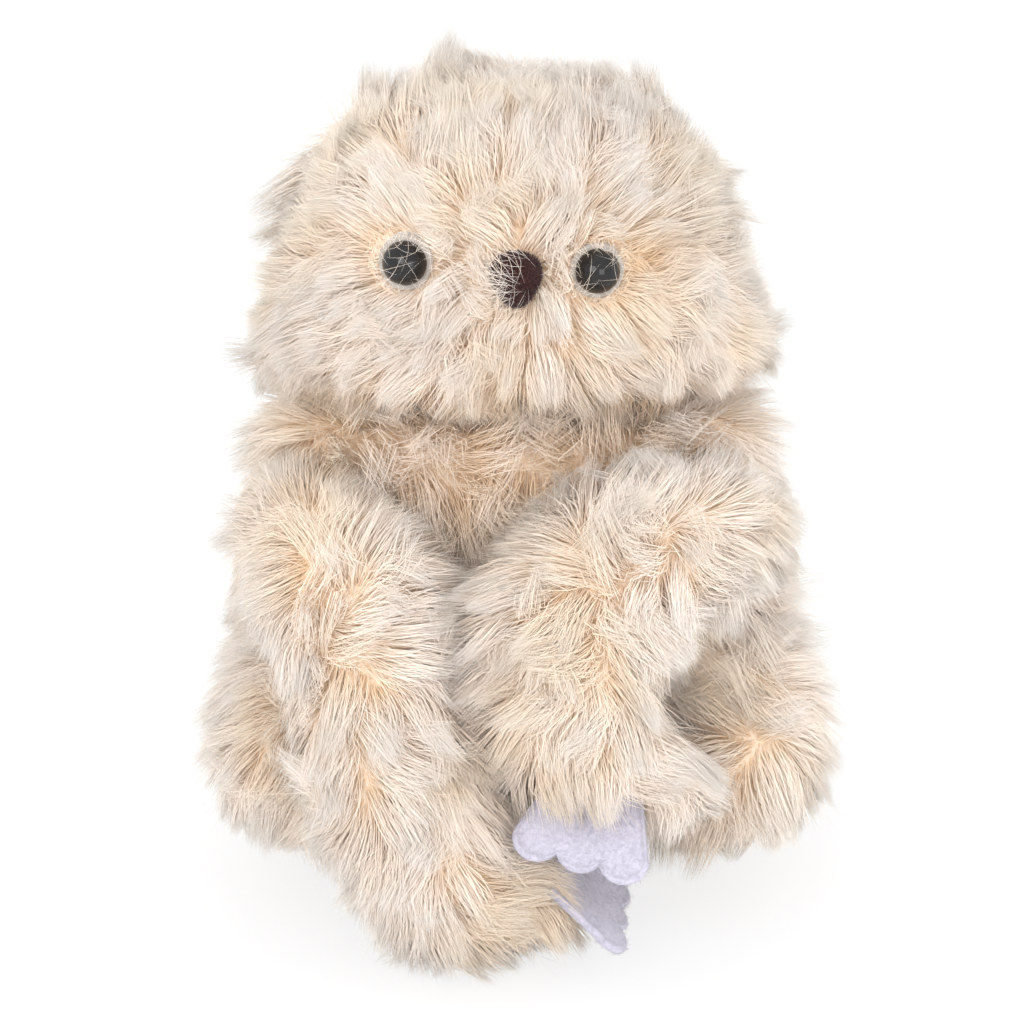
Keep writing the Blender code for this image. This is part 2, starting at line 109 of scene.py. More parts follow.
class PlushFace(bpy.types.PropertyGroup):
    """Sizes and colours of the eyes and the nose."""

    eye_radius: FloatProperty(
        name="Eye radius", description="Radius of an eye's dome", default=0.0046, unit="LENGTH"
    )
    dome: FloatProperty(
        name="Eye height", description="Height of an eye's dome", default=0.0042, unit="LENGTH"
    )
    ring_radius: FloatProperty(
        name="Ring radius", description="Outer radius of an eye's pale ring", default=0.0057, unit="LENGTH"
    )
    shaft_radius: FloatProperty(
        name="Shaft radius", description="Radius of an eye's shaft", default=0.00175, unit="LENGTH"
    )
    yaw: FloatProperty(
        name="Yaw", description="How far an eye looks outwards", default=math.radians(12.0), subtype="ANGLE"
    )
    pitch: FloatProperty(
        name="Pitch", description="How far the face looks up", default=math.radians(4.0), subtype="ANGLE"
    )
    web: IntProperty(name="Web", description="Fine hairs over each eye", default=28, min=1)
    flock: IntProperty(name="Flock", description="Hairs of the nose's flock", default=4000, min=10)
    nose: FloatVectorProperty(
        name="Nose", description="Colour of the nose", default=(0.040, 0.012, 0.011), subtype="COLOR"
    )


class PlushClaw(bpy.types.PropertyGroup):
    """Sizes and colours of the felt claws."""

    width: FloatProperty(name="Width", description="Width over the lobes", default=0.028, unit="LENGTH")
    length: FloatProperty(name="Length", description="Root to lobe tip", default=0.020, unit="LENGTH")
    root: FloatProperty(name="Root", description="Width at the root", default=0.018, unit="LENGTH")
    thickness: FloatProperty(
        name="Thickness", description="Thickness of the felt", default=0.0018, unit="LENGTH"
    )
    notch: FloatProperty(
        name="Notch", description="Height of the notch on a lobe", default=math.radians(30.0), subtype="ANGLE"
    )
    fibres: IntProperty(name="Fibres", description="Loose fibres on each claw", default=2200, min=10)
    felt: FloatVectorProperty(
        name="Felt", description="Colour of the felt", default=(0.54, 0.52, 0.62), subtype="COLOR"
    )


class PlushStage(bpy.types.PropertyGroup):
    """Camera, lamps and floor."""

    distance: FloatProperty(name="Distance", description="Camera distance", default=0.70, unit="LENGTH")
    elevation: FloatProperty(
        name="Elevation", description="Camera elevation", default=math.radians(18.0), subtype="ANGLE"
    )
    aim: FloatVectorProperty(
        name="Aim", description="Where the camera looks", default=(0.0, -0.010, 0.0778), subtype="XYZ"
    )
    view_width: FloatProperty(
        name="View width", description="Width of the view at the aim", default=0.2222, unit="LENGTH"
    )
    key: FloatProperty(name="Key", description="Strength of the key lamp in watts", default=2.0)
    fill: FloatProperty(name="Fill", description="Strength of the fill lamp in watts", default=0.95)
    ambient: FloatProperty(name="Ambient", description="Light from all round", default=1.33)


def unit(vectors):
    """Each vector divided by its length."""
    return vectors / np.maximum(np.linalg.norm(vectors, axis=-1, keepdims=True), 1e-12)


def ease(low, high, values):
    """0 below low and 1 above high, with the cubic 3t^2 - 2t^3 between them."""
    t = np.clip((values - low) / (high - low), 0.0, 1.0)
    return t * t * (3.0 - 2.0 * t)


def across(vectors, normals):
    """The part of each vector that is square to its normal, at unit length."""
    return unit(vectors - normals * (vectors * normals).sum(-1, keepdims=True))


def blend(a, b, share):
    """a and b mixed, with share of b."""
    return a + (b - a) * share


def round_angles(count):
    """count even angles round the circle."""
    return np.linspace(0.0, math.tau, count, endpoint=False)


def round_axes(count, x, y):
    """x cos(angle) + y sin(angle) at count even angles."""
    angles = round_angles(count)[:, None]
    return np.cos(angles) * x + np.sin(angles) * y


def through(knots, t):
    """Catmull-Rom curve through evenly spaced knots, read at t from 0 to 1."""
    knots = np.asarray(knots, float)
    last = len(knots) - 1
    place = np.clip(t, 0.0, 1.0) * last
    i = np.minimum(place.astype(int), last - 1)
    f = (place - i)[:, None]
    a, b, c, d = (knots[np.clip(i + k, 0, last)] for k in (-1, 0, 1, 2))
    return 0.5 * (
        2.0 * b + (c - a) * f + (2.0 * a - 5.0 * b + 4.0 * c - d) * f**2 + (3.0 * b - a - 3.0 * c + d) * f**3
    )


def box_sizes(node):
    """The lowest corner, the middle and half the size of a CAD node's box."""
    low, high = (np.array(corner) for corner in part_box(node))
    return low, (low + high) / 2.0, (high - low) / 2.0


def node_points(node):
    """All vertices of a CAD node."""
    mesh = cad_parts[node].data
    points = np.empty(len(mesh.vertices) * 3)
    mesh.vertices.foreach_get("co", points)
    return points.reshape(-1, 3)


def build_mesh(name, points, corners, sizes, maps=None):
    """A mesh object from flat arrays: the corners of all faces, one after another, and their sizes."""
    mesh = bpy.data.meshes.new(name)
    mesh.vertices.add(len(points))
    mesh.vertices.foreach_set("co", np.ascontiguousarray(points, np.float32).ravel())
    mesh.loops.add(len(corners))
    mesh.loops.foreach_set("vertex_index", np.ascontiguousarray(corners, np.int32))
    starts = np.concatenate(([0], np.cumsum(sizes)[:-1])).astype(np.int32)
    mesh.polygons.add(len(sizes))
    mesh.polygons.foreach_set("loop_start", starts)
    if maps is not None:
        layer = mesh.uv_layers.new(name="OFBake")
        layer.uv.foreach_set("vector", np.ascontiguousarray(maps, np.float32).ravel())
    mesh.update(calc_edges=True)
    mesh.shade_smooth()
    piece = bpy.data.objects.new(name, mesh)
    bpy.context.scene.collection.objects.link(piece)
    return piece


def lattice(rows, columns, bands):
    """The corners of a grid's cells, in bands between its rows. The columns close round.

    With as many bands as rows, the last row joins the first.
    """
    row, column = np.meshgrid(np.arange(bands), np.arange(columns), indexing="ij")
    below, beside = (row + 1) % rows, (column + 1) % columns
    places = ((row, column), (row, beside), (below, beside), (below, column))
    return np.stack([r * columns + c for r, c in places], -1).reshape(-1, 4)


def closed_grid(name, grid):
    """A closed skin from a grid of rings, rows along and columns round, with both end rows as poles."""
    rows, columns = len(grid) - 2, grid.shape[1]
    poles = grid[:: len(grid) - 1].mean(1)
    points = np.concatenate((grid[1:-1].reshape(-1, 3), poles))
    quads = lattice(rows, columns, rows - 1)
    ring = np.arange(columns)
    beside = (ring + 1) % columns
    start, pole = (rows - 1) * columns, rows * columns
    near = np.stack((np.full(columns, pole), beside, ring), -1)
    far = np.stack((start + ring, start + beside, np.full(columns, pole + 1)), -1)
    corners = np.concatenate((quads.ravel(), near.ravel(), far.ravel()))
    sizes = np.concatenate((np.full(len(quads), 4), np.full(2 * columns, 3)))
    return build_mesh(name, points, corners, sizes)


def dressed(piece, looks, body, slot, *nodes):
    """A finished piece with its material and its body; the CAD nodes that it replaces are hidden. slot is not
    used.
    """
    piece.data.materials.append(looks)
    if nodes:
        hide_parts(*nodes)
    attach(piece, body)
    return piece


class Form:
    """A swollen, tapering form.

    Its surface is centre(t) + cap(t) (a(t) cos(angle) A(t) + b(t) sin(angle) B(t)), where
    t = (1 - cos(pi s)) / 2 and cap(t) = sqrt(1 - |2t - 1|^p), with p the first bluntness for the
    first half and the second for the other. A is the side direction made square to the path, and
    B is the path's direction crossed with A. Rows follow s, columns angle.
    """

    def __init__(self, rings, side, bluntness, rows=84, columns=96):
        s = np.linspace(0.0, 1.0, rows)
        t = (1.0 - np.cos(math.pi * s)) / 2.0
        rings = through(rings, t)
        centres, widths, depths = rings[:, :3], rings[:, 3], rings[:, 4]
        path = unit(np.gradient(centres, t + np.arange(rows) * 1e-9, axis=0))
        a = across(np.broadcast_to(side, path.shape), path)
        b = np.cross(path, a)
        power = np.where(t < 0.5, bluntness[0], bluntness[1])
        cap = np.sqrt(np.maximum(1.0 - np.abs(2.0 * t - 1.0) ** power, 0.0))
        angles = round_angles(columns)
        cos, sin = np.cos(angles)[None, :, None], np.sin(angles)[None, :, None]
        self.points = centres[:, None] + cap[:, None, None] * (
            (widths[:, None] * a)[:, None] * cos + (depths[:, None] * b)[:, None] * sin
        )
        self.path = np.broadcast_to(path[:, None], self.points.shape)
        self.measure()

    def measure(self):
        """Normals from the grid's two directions, and each cell's area."""
        points = self.points
        round_about = np.roll(points, -1, 1) - np.roll(points, 1, 1)
        along = np.gradient(points, axis=0)
        normals = np.cross(round_about, along)
        normals[0], normals[-1] = -self.path[0], self.path[-1]
        self.normals = unit(normals)
        beside = np.roll(points, -1, 1)
        diagonal = beside[1:] - points[:-1]
        other = points[1:] - beside[:-1]
        self.areas = np.linalg.norm(np.cross(diagonal, other), axis=-1) / 2.0

    def raise_front(self, rise, foot, reach):
        """Lifts the front's edge: by rise at the foot height, and less up to reach above or below it."""
        front = ease(-0.2, 0.9, -self.normals[..., 1])
        self.points[..., 2] += rise * front * (1.0 - ease(foot, foot + reach, self.points[..., 2]))
        self.measure()

    def press(self, floor):
        """Flattens the form where it rests: nothing lies below the floor height."""
        self.points[..., 2] = np.maximum(self.points[..., 2], floor)
        self.measure()

    def roots(self, count, density, rng):
        """count places on the surface, spread by area times density, with normals and path directions."""
        middles = (self.points[:-1] + self.points[1:]) / 2.0
        normals = (self.normals[:-1] + self.normals[1:]) / 2.0
        weights = (self.areas * density(middles, unit(normals))).ravel()
        total = np.cumsum(weights)
        picks = (np.arange(count) + rng.random(count)) / count * total[-1]
        cell = np.minimum(np.searchsorted(total, picks), len(weights) - 1)
        columns = self.points.shape[1]
        row, column = cell // columns, cell % columns
        after = (column + 1) % columns
        f, g = rng.random((2, count, 1))

        def read(values):
            near = blend(values[row, column], values[row, after], g)
            far = blend(values[row + 1, column], values[row + 1, after], g)
            return blend(near, far, f)

        return read(self.points), unit(read(self.normals)), unit(read(self.path))


def arcs(roots, normals, comb, length, lift, fall, steps):
    """Bent hairs: root + L (D0 (s - s^2 / 2) + D1 s^2 / 2), which leave along D0 and end along D1.

    D0 stands lift above the skin along the comb direction. D1 lies lower by fall and sinks a
    little with its weight.
    """
    sag = 0.10
    low = lift * fall
    first = normals * np.sin(lift)[:, None] + comb * np.cos(lift)[:, None]
    last = unit(normals * np.sin(low)[:, None] + comb * np.cos(low)[:, None] + DOWN * sag)
    s = steps[None, :, None]
    reach = length[:, None, None]
    return roots[:, None] + reach * (first[:, None] * (s - s * s / 2.0) + last[:, None] * (s * s / 2.0))


def nearest(points, centres, block=4000):
    """The index of the centre nearest to each point, in blocks to save memory."""
    points, centres = points.astype(np.float32), centres.astype(np.float32)
    square = (centres**2).sum(1)
    blocks = (points[i : i + block] for i in range(0, len(points), block))
    return np.concatenate([np.argmin(square - 2.0 * near @ centres.T, 1) for near in blocks])


def gather(curves, roots, field, locks, lean, steps, rng):
    """Pulls hairs into locks: each hair leans towards its lock's guide hair by pull s^power.

    The guides are an even share of the hairs, grown again with a wandering comb direction.
    Returns the hairs and each hair's lock.
    """
    normals, comb, length, lift, fall = field
    pull, power, wander = lean
    picks = rng.permutation(len(roots))[:locks]
    turn = rng.normal(0.0, wander, (len(picks), 3))
    guide_comb = across(comb[picks] + turn, normals[picks])
    guide_length = length[picks] * rng.uniform(0.8, 1.15, len(picks))
    guide_lift = lift[picks] * rng.uniform(0.65, 1.4, len(picks))
    guides = arcs(roots[picks], normals[picks], guide_comb, guide_length, guide_lift, fall, steps)
    own = nearest(roots, roots[picks])
    loose = rng.uniform(0.35, 1.0, len(roots))
    weight = pull * loose[:, None, None] * (steps**power)[None, :, None]
    return curves + weight * (guides[own] - curves), own


def swirled(comb, points, normals, angle, size, seed):
    """The comb turned about the normals by angle times a smooth field of six waves about size long."""
    rng = np.random.default_rng(seed)
    waves = unit(rng.normal(size=(6, 3))) * math.tau / (size * rng.uniform(0.6, 1.6, (6, 1)))
    field = np.sin(points @ waves.T + rng.uniform(0.0, math.tau, 6)).sum(1) / math.sqrt(3.0)
    turn = (angle * field)[:, None]
    return comb * np.cos(turn) + np.cross(normals, comb) * np.sin(turn)


def hairs(name, curves, widths, shades, turns, tip_power=1.8, soft=0.42, painted_shade=0.0):
    """Closed three-sided hairs that taper to a point, as one mesh.

    A hair's ring at s has radius w (1 - taper s^tip_power) / 2, and the last point closes it. Its
    normals lean by the soft share towards turns, the skin's own, so that the pile shades evenly.
    The map's first axis runs from root to tip, and less far the more painted shade a hair carries,
    so that its tan root colour runs further up it. Its second holds the hair's own random tone, over a narrow
    strip.
    """
    taper, most_painted_shade, strip, margin = 0.92, 0.72, 0.0008, 0.002
    count, places = curves.shape[:2]
    rings = places - 1
    steps = np.linspace(0.0, 1.0, places)
    tangents = unit(np.gradient(curves, axis=1))
    reference = unit(np.cross(tangents[:, :1], turns[:, None]))
    side = across(np.broadcast_to(reference, tangents.shape), tangents)
    other = np.cross(tangents, side)
    angles = math.tau * np.arange(3) / 3.0
    radius = widths[:, None] / 2.0 * (1.0 - taper * steps[None, :rings] ** tip_power)
    spokes = (
        side[:, :rings, None] * np.cos(angles)[None, None, :, None]
        + other[:, :rings, None] * np.sin(angles)[None, None, :, None]
    )
    walls = curves[:, :rings, None] + spokes * radius[:, :, None, None]
    points = np.concatenate((walls.reshape(count, -1, 3), curves[:, -1:]), 1)

    quads = lattice(rings, 3, rings - 1)
    each, top = rings * 3 + 1, rings * 3 - 3
    tips = [(top + j, top + (j + 1) % 3, each - 1) for j in range(3)]
    pattern = np.concatenate((quads.ravel(), np.ravel(tips), (2, 1, 0)))
    sizes = np.concatenate((np.full(len(quads), 4), np.full(4, 3)))
    corners = (np.arange(count)[:, None] * each + pattern).ravel()
    tip_u = np.tile((steps[rings - 1], steps[rings - 1], 1.0), 3)
    pattern_u = np.concatenate((steps[quads // 3].ravel(), tip_u, (0.0, 2.0 * margin, 0.0)))
    quad_v = np.tile((0.0, 1.0, 1.0, 0.0), len(quads))
    pattern_v = np.concatenate((quad_v, np.tile((0.0, 1.0, 0.5), 3), (0.0, 0.0, 1.0)))
    # Painted shade: the deeper the painted shade, the sooner the map stops short of the tip, so the tan root
    # colour covers more of the hair.
    reach = np.broadcast_to(1.0 - most_painted_shade * painted_shade, count)[:, None]
    maps = np.empty((count, len(pattern), 2))
    maps[..., 0] = margin + (1.0 - 2.0 * margin) * pattern_u * reach
    maps[..., 1] = shades[:, None] * (1.0 - strip) + strip * pattern_v
    made = build_mesh(name, points.reshape(-1, 3), corners, np.tile(sizes, count), maps.reshape(-1, 2))
    outward = np.concatenate((spokes.reshape(count, -1, 3), tangents[:, -1:]), 1)
    normals = unit(blend(outward, np.broadcast_to(turns[:, None], outward.shape), soft))
    made.data.normals_split_custom_set_from_vertices(normals.reshape(-1, 3))
    return made


def added(tree, kind, inputs=(), **settings):
    """A new node with its settings. Its inputs, by name or place, are linked or set to plain values."""
    node = tree.nodes.new(kind)
    for key, value in settings.items():
        setattr(node, key, value)
    for key, value in dict(inputs).items():
        if isinstance(value, bpy.types.NodeSocket):
            tree.links.new(value, node.inputs[key])
        else:
            node.inputs[key].default_value = value
    return node


def worked(tree, operation, a, b):
    """The result of a Math node on a and b, each an output or a number."""
    return added(tree, "ShaderNodeMath", {0: a, 1: b}, operation=operation).outputs[0]


def noise(tree, scale, detail=2.0, distortion=0.0):
    """A noise at the object's own places, from 0 to 1."""
    place = added(tree, "ShaderNodeTexCoord").outputs["Object"]
    inputs = {"Vector": place, "Scale": scale, "Detail": detail, "Distortion": distortion}
    return added(tree, "ShaderNodeTexNoise", inputs).outputs["Fac"]


def pile_looks():
    """The pile's colour, as a group: root to tip along the map, and each hair's shade across it.

    Patches tints the hair in wide, soft clouds.
    """
    group = bpy.data.node_groups.new("pile_colour", "ShaderNodeTree")
    for name in ("Root", "Middle", "Tip", "Variation", "Patches"):
        kind = "NodeSocketFloat" if name == "Variation" else "NodeSocketColor"
        group.interface.new_socket(name, in_out="INPUT", socket_type=kind)
    group.interface.new_socket("Color", in_out="OUTPUT", socket_type="NodeSocketColor")
    given = added(group, "NodeGroupInput").outputs
    place = added(group, "ShaderNodeUVMap", uv_map="OFBake").outputs["UV"]
    along, shade = added(group, "ShaderNodeSeparateXYZ", {0: place}).outputs[:2]

    def ranged(source, low, high):
        inputs = {0: source, 1: low, 2: high}
        return added(group, "ShaderNodeMapRange", inputs, interpolation_type="SMOOTHSTEP").outputs[0]

    def mixed(factor, a, b, mode="MIX"):
        inputs = {0: factor, 6: a, 7: b}
        return added(group, "ShaderNodeMix", inputs, data_type="RGBA", blend_type=mode).outputs[2]

    # Root to tip: the tan root is partly the hair's own colour and partly painted shade deep in the pile.
    lower = mixed(ranged(along, 0.0, 0.36), given["Root"], given["Middle"])
    whole = mixed(ranged(along, 0.35, 1.0), lower, given["Tip"])
    tinted = mixed(1.0, whole, given["Patches"], "MULTIPLY")
    whole = mixed(ranged(noise(group, 38.0, 3.0), 0.40, 0.68), whole, tinted)
    shift = worked(group, "MULTIPLY", worked(group, "SUBTRACT", shade, 0.5), given["Variation"])
    brighter, paler = worked(group, "ADD", shift, 1.0), worked(group, "SUBTRACT", 1.0, shift)
    inputs = {"Value": brighter, "Saturation": paler, "Color": whole}
    tone = added(group, "ShaderNodeHueSaturation", inputs)
    added(group, "NodeGroupOutput", {"Color": tone.outputs[0]})
    return group


def new_material(name, roughness, specular, sheen=None):
    """A material with its shader's plain values. sheen is its weight and its roughness.

    Returns the material, its node tree and its shader.
    """
    made = bpy.data.materials.new(name)
    made.use_nodes = True
    shader = made.node_tree.nodes["Principled BSDF"]
    shader.inputs["Roughness"].default_value = roughness
    shader.inputs["Specular IOR Level"].default_value = specular
    if sheen is not None:
        shader.inputs["Sheen Weight"].default_value = sheen[0]
        shader.inputs["Sheen Roughness"].default_value = sheen[1]
    return made, made.node_tree, shader


def speckled(name, plain, colours, scale, detail=2.0, distortion=0.0, ends=(0.0, 1.0), bump=None):
    """A material that runs between two colours with a fine noise.

    plain holds new_material's values. The noise has the first colour up to the first of the
    ends, and the second from the second. bump is a strength and a distance, and follows the noise.
    """
    made, tree, shader = new_material(name, *plain)
    grain = noise(tree, scale, detail, distortion)
    ramp = added(tree, "ShaderNodeValToRGB", {0: grain})
    for stop, colour, end in zip(ramp.color_ramp.elements, colours, ends):
        stop.color, stop.position = (*colour, 1.0), end
    tree.links.new(ramp.outputs[0], shader.inputs["Base Color"])
    if bump is not None:
        inputs = {"Strength": bump[0], "Distance": bump[1], "Height": grain}
        relief = added(tree, "ShaderNodeBump", inputs)
        tree.links.new(relief.outputs[0], shader.inputs["Normal"])
    return made


def pile_material():
    """Shiny synthetic hair, made once."""
    if "pile" in bpy.data.materials:
        return bpy.data.materials["pile"]
    fur = bpy.context.scene.plush_fur
    made, tree, shader = new_material("pile", 0.55, 0.35, (0.45, 0.4))
    shader.inputs["Sheen Tint"].default_value = (1.0, 0.93, 0.84, 1.0)
    inputs = {
        "Root": (*fur.root, 1.0),
        "Middle": (*fur.middle, 1.0),
        "Tip": (*fur.tip, 1.0),
        "Variation": 0.22,
        "Patches": (0.985, 0.935, 0.845, 1.0),
    }
    colour = added(tree, "ShaderNodeGroup", inputs, node_tree=pile_looks())
    tree.links.new(colour.outputs["Color"], shader.inputs["Base Color"])
    return made


def cloth_material():
    """The pile's backing cloth with the short nap between the hairs, made once."""
    if "backing_cloth" in bpy.data.materials:
        return bpy.data.materials["backing_cloth"]
    fur = bpy.context.scene.plush_fur
    # The cloth's root-to-middle colours are partly its own tan and partly painted shade in the partings.
    colours = (fur.root, fur.middle)
    return speckled(
        "backing_cloth", (0.95, 0.1), colours, 900.0, 4.0, ends=(0.35, 0.75), bump=(0.8, 0.0008)
    )


# How hairs lean towards their lock's guide: the share, its power along the hair, the guides' wander
small_lean = (0.62, 1.2, 0.34)
big_lean = (0.85, 1.0, 0.85)


def furred(form, name, body, nodes, count, panels, density, flow, seed, blocked=None):
    """One furred form: its padded skin, which replaces the CAD nodes, its pile and its undercoat.

    The locks' numbers come from the form's area over the locks' sizes. The panels divide the
    bent hairs by the angle round the form's middle, with as many in each, and the undercoat
    holds the straight ones. density gives the hairs' share at a place. flow gives the comb
    direction, the length, the lift off the skin, the share of hairs that stay, and the painted
    shade: how far the tan root colour runs up the hair where shade falls in hollows and creases.
    blocked tells which hairs to leave out, from their curves.
    """
    fall, tousle, frizz, stray_share = 0.5, 0.3, 0.00022, 0.02
    stray_fall, stray_tousle, stray_length, stray_lift = 0.8, 0.5, 1.05, 1.25
    fur = bpy.context.scene.plush_fur
    rng = np.random.default_rng(seed)
    skin = closed_grid(name + "_skin", form.points)
    dressed(skin, cloth_material(), body, "fur_cloth", *nodes)

    roots, normals, path = form.roots(count, density, rng)
    comb, length, lift, keep, painted_shade = flow(roots, normals, path)
    kept = keep > rng.random(count)
    roots, normals, comb, length, lift, painted_shade = (x[kept] for x in (roots, normals, comb, length, lift, painted_shade))
    count = len(roots)
    steps = np.linspace(0.0, 1.0, 3)
    tousled = across(comb + rng.normal(0.0, tousle, (count, 3)), normals)
    own_length = length * rng.uniform(0.62, 1.06, count)
    own_lift = lift * rng.uniform(0.65, 1.35, count)
    curves = arcs(roots, normals, tousled, own_length, own_lift, fall, steps)
    area = form.areas.sum()
    field = (normals, comb, length, lift, fall)
    fine = min(count // 3, int(area / fur.small_lock**2))
    coarse = min(count // 8, int(area / fur.big_lock**2))
    curves, small = gather(curves, roots, field, fine, small_lean, steps, rng)
    curves, big = gather(curves, roots, field, coarse, big_lean, steps, rng)
    curves = curves + rng.normal(0.0, frizz, curves.shape) * steps[None, :, None]
    stray = rng.random(count) < stray_share
    wild = across(comb[stray] + rng.normal(0.0, stray_tousle, (stray.sum(), 3)), normals[stray])
    far, high = length[stray] * stray_length, lift[stray] * stray_lift
    curves[stray] = arcs(roots[stray], normals[stray], wild, far, high, stray_fall, steps)
    ground = 0.0004 + 0.0006 * rng.random((count, 1))
    curves[..., 2] = np.maximum(curves[..., 2], ground)
    widths = fur.width * rng.uniform(0.65, 1.15, count) * np.where(stray, 0.5, 1.0)
    shades = 0.4 * rng.random(count) + 0.35 * rng.random(fine)[small] + 0.25 * rng.random(coarse)[big]
    if blocked is not None:
        clear = ~blocked(curves)
        kept = (x[clear] for x in (curves, widths, shades, roots, normals, painted_shade))
        curves, widths, shades, roots, normals, painted_shade = kept

    middle = form.points.mean((0, 1))
    order = np.argsort(np.arctan2(*(roots - middle)[:, :2].T), kind="stable")
    straight = rng.random(len(roots)) < fur.under
    bent = np.array_split(order[~straight[order]], panels)
    parts = [(f"{name}_pile_{i + 1}", chosen, curves) for i, chosen in enumerate(bent)]
    parts.append((name + "_undercoat", order[straight[order]], curves[:, ::2]))
    for part, chosen, drawn in parts:
        own = (drawn[chosen], widths[chosen], shades[chosen], normals[chosen])
        dressed(hairs(part, *own, painted_shade=painted_shade[chosen]), pile_material(), body, "fur_cloth")


def claw_place(points, claw):
    """The plate's place, from the CAD felt: its root edge's middle, and the plate's directions.

    x runs across it, y towards its root and z square to it. They are the directions in which the
    felt's points spread most, less and least.
    """
    centre = (points.min(0) + points.max(0)) / 2.0
    apart = points - centre
    y, x = np.linalg.svd(apart - apart.mean(0), full_matrices=False)[2][[1, 0]]
    along = apart @ y
    ends = [np.abs(along - end) < claw.thickness for end in (along.max(), along.min())]
    if np.ptp((apart @ x)[ends[0]]) > np.ptp((apart @ x)[ends[1]]):
        y, along = -y, -along
    z = np.cross(x, y)
    edge = apart[np.abs(along - along.max()) < claw.thickness]
    root = centre + y * along.max()
    root = root + x * (edge @ x).min() / 2.0 + x * (edge @ x).max() / 2.0
    root = root + z * ((apart @ z).max() + (apart @ z).min()) / 2.0
    return root, x, y, z


def pierced(curves, place, claw):
    """Which hairs pass through a claw's plate, outside of the cloth that holds it."""
    held = 0.001
    origin, x, y, z = place
    local = np.stack([(curves - origin) @ axis for axis in (x, y, z)], -1)
    before, after = local[:, :-1], local[:, 1:]
    drop = before[..., 2:] - after[..., 2:]
    share = before[..., 2:] / np.where(np.abs(drop) < 1e-9, 1e-9, drop)
    spot = blend(before, after, share)
    crosses = (share[..., 0] > 0.0) & (share[..., 0] < 1.0)
    outside = (spot[..., 1] < -held) & (spot[..., 1] > -claw.length)
    return (crosses & outside & (np.abs(spot[..., 0]) < 0.5 * claw.width)).any(1)


# Rings of the pile's outline from the bottom up, in metres: height, half width and half depth
body_rings = (
    (0.003, 0.0500, 0.0380),
    (0.020, 0.0590, 0.0442),
    (0.042, 0.0624, 0.0468),
    (0.064, 0.0624, 0.0462),
    (0.086, 0.0590, 0.0430),
    (0.1025, 0.0545, 0.0400),
)
head_rings = (
    (0.1040, 0.0560, 0.0440),
    (0.1180, 0.0555, 0.0462),
    (0.1310, 0.0510, 0.0466),
    (0.1440, 0.0460, 0.0450),
    (0.1570, 0.0435, 0.0430),
    (0.1670, 0.0410, 0.0405),
)


def upright_form(node, rings, inset, bluntness):
    """A form that stands up in the middle of a CAD node's box, with its cloth inset from the outline."""
    middle = box_sizes(node)[1]
    rings = [(middle[0], middle[1], z, w - inset, d - inset) for z, w, d in rings]
    return Form(rings, SIDE, bluntness)


class PLUSH_OT_body(bpy.types.Operator):
    """Furs the body and its seat."""

    bl_idname = "plush.body"
    bl_label = "Furred body"

    def execute(self, context):
        fur = context.scene.plush_fur
        form = upright_form("body_cover", body_rings, fur.inset, (6.0, 10.0))
        form.raise_front(0.004, 0.100, -0.015)
        form.press(0.0015)
        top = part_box("body_cover")[1].z

        def density(points, normals):
            """Thinner in the middle of the front, and nearly bare underneath."""
            covered = ease(-0.3, 0.6, -normals[..., 1]) * ease(0.0, 0.02, 0.05 - np.abs(points[..., 0]))
            under = ease(0.2, 0.9, -normals[..., 2])
            return (1.0 - 0.25 * covered) * (1.0 - 0.9 * under)

        def flow(points, normals, path):
            """Down and outwards, aside from the middle, and up and inwards under the chin."""
            wide, high = np.abs(points[:, :1]), points[:, 2:]
            front, under = ease(0.2, 0.8, -normals[:, 1:2]), ease(0.3, 0.9, -normals[:, 2:])
            shoulder = ease(top * 0.82, top, high)
            out = normals * np.array((1.0, 1.0, 0.0))
            aside = np.sign(points[:, :1]) * SIDE * ease(0.0, 0.03, wide)
            inward = front * ease(0.075, 0.090, high)
            comb = DOWN * (1.0 - 0.5 * shoulder) + out * (0.25 + 0.8 * shoulder * (1.0 - front))
            comb = comb + UP * 1.1 * front * ease(0.088, 0.100, high)
            comb = across(comb + (0.3 - 1.1 * inward) * aside, normals)
            comb = swirled(comb, points, normals, 0.45, 0.030, 5)
            flank = ease(0.016, 0.030, wide) * ease(0.2, 0.6, -normals[:, 1:2])
            flank = flank * ease(0.026, 0.042, high) * (1.0 - ease(0.060, 0.074, high))
            flank = flank * (1.0 - 0.8 * ease(0.040, 0.054, wide))
            length = fur.pile * (1.0 - 0.45 * under + 0.45 * front + 0.6 * flank)[:, 0]
            lift = np.radians(38.0 + 24.0 * shoulder + 22.0 * flank)[:, 0]
            # Painted shade: the hair is tan on the chest between the arms and along the top, under the chin.
            chest = front * (1.0 - ease(0.020, 0.040, wide)) * ease(0.045, 0.065, high)
            painted_shade = np.maximum(0.75 * chest, 0.8 * ease(0.096, 0.104, high))[:, 0]
            return comb, length, lift, np.ones(len(points)), painted_shade

        nodes = ("body_cover", "body_stuffing", "seat_bean_bag")
        furred(form, "body", "body", nodes, fur.body_hairs, 3, density, flow, 11)
        return {"FINISHED"}


def face_places():
    """The middles of the eyes and the nose on the face."""
    eyes = [box_sizes(side + "_eye_ring")[1] for side in ("right", "left")]
    return eyes, box_sizes("nose")[1]


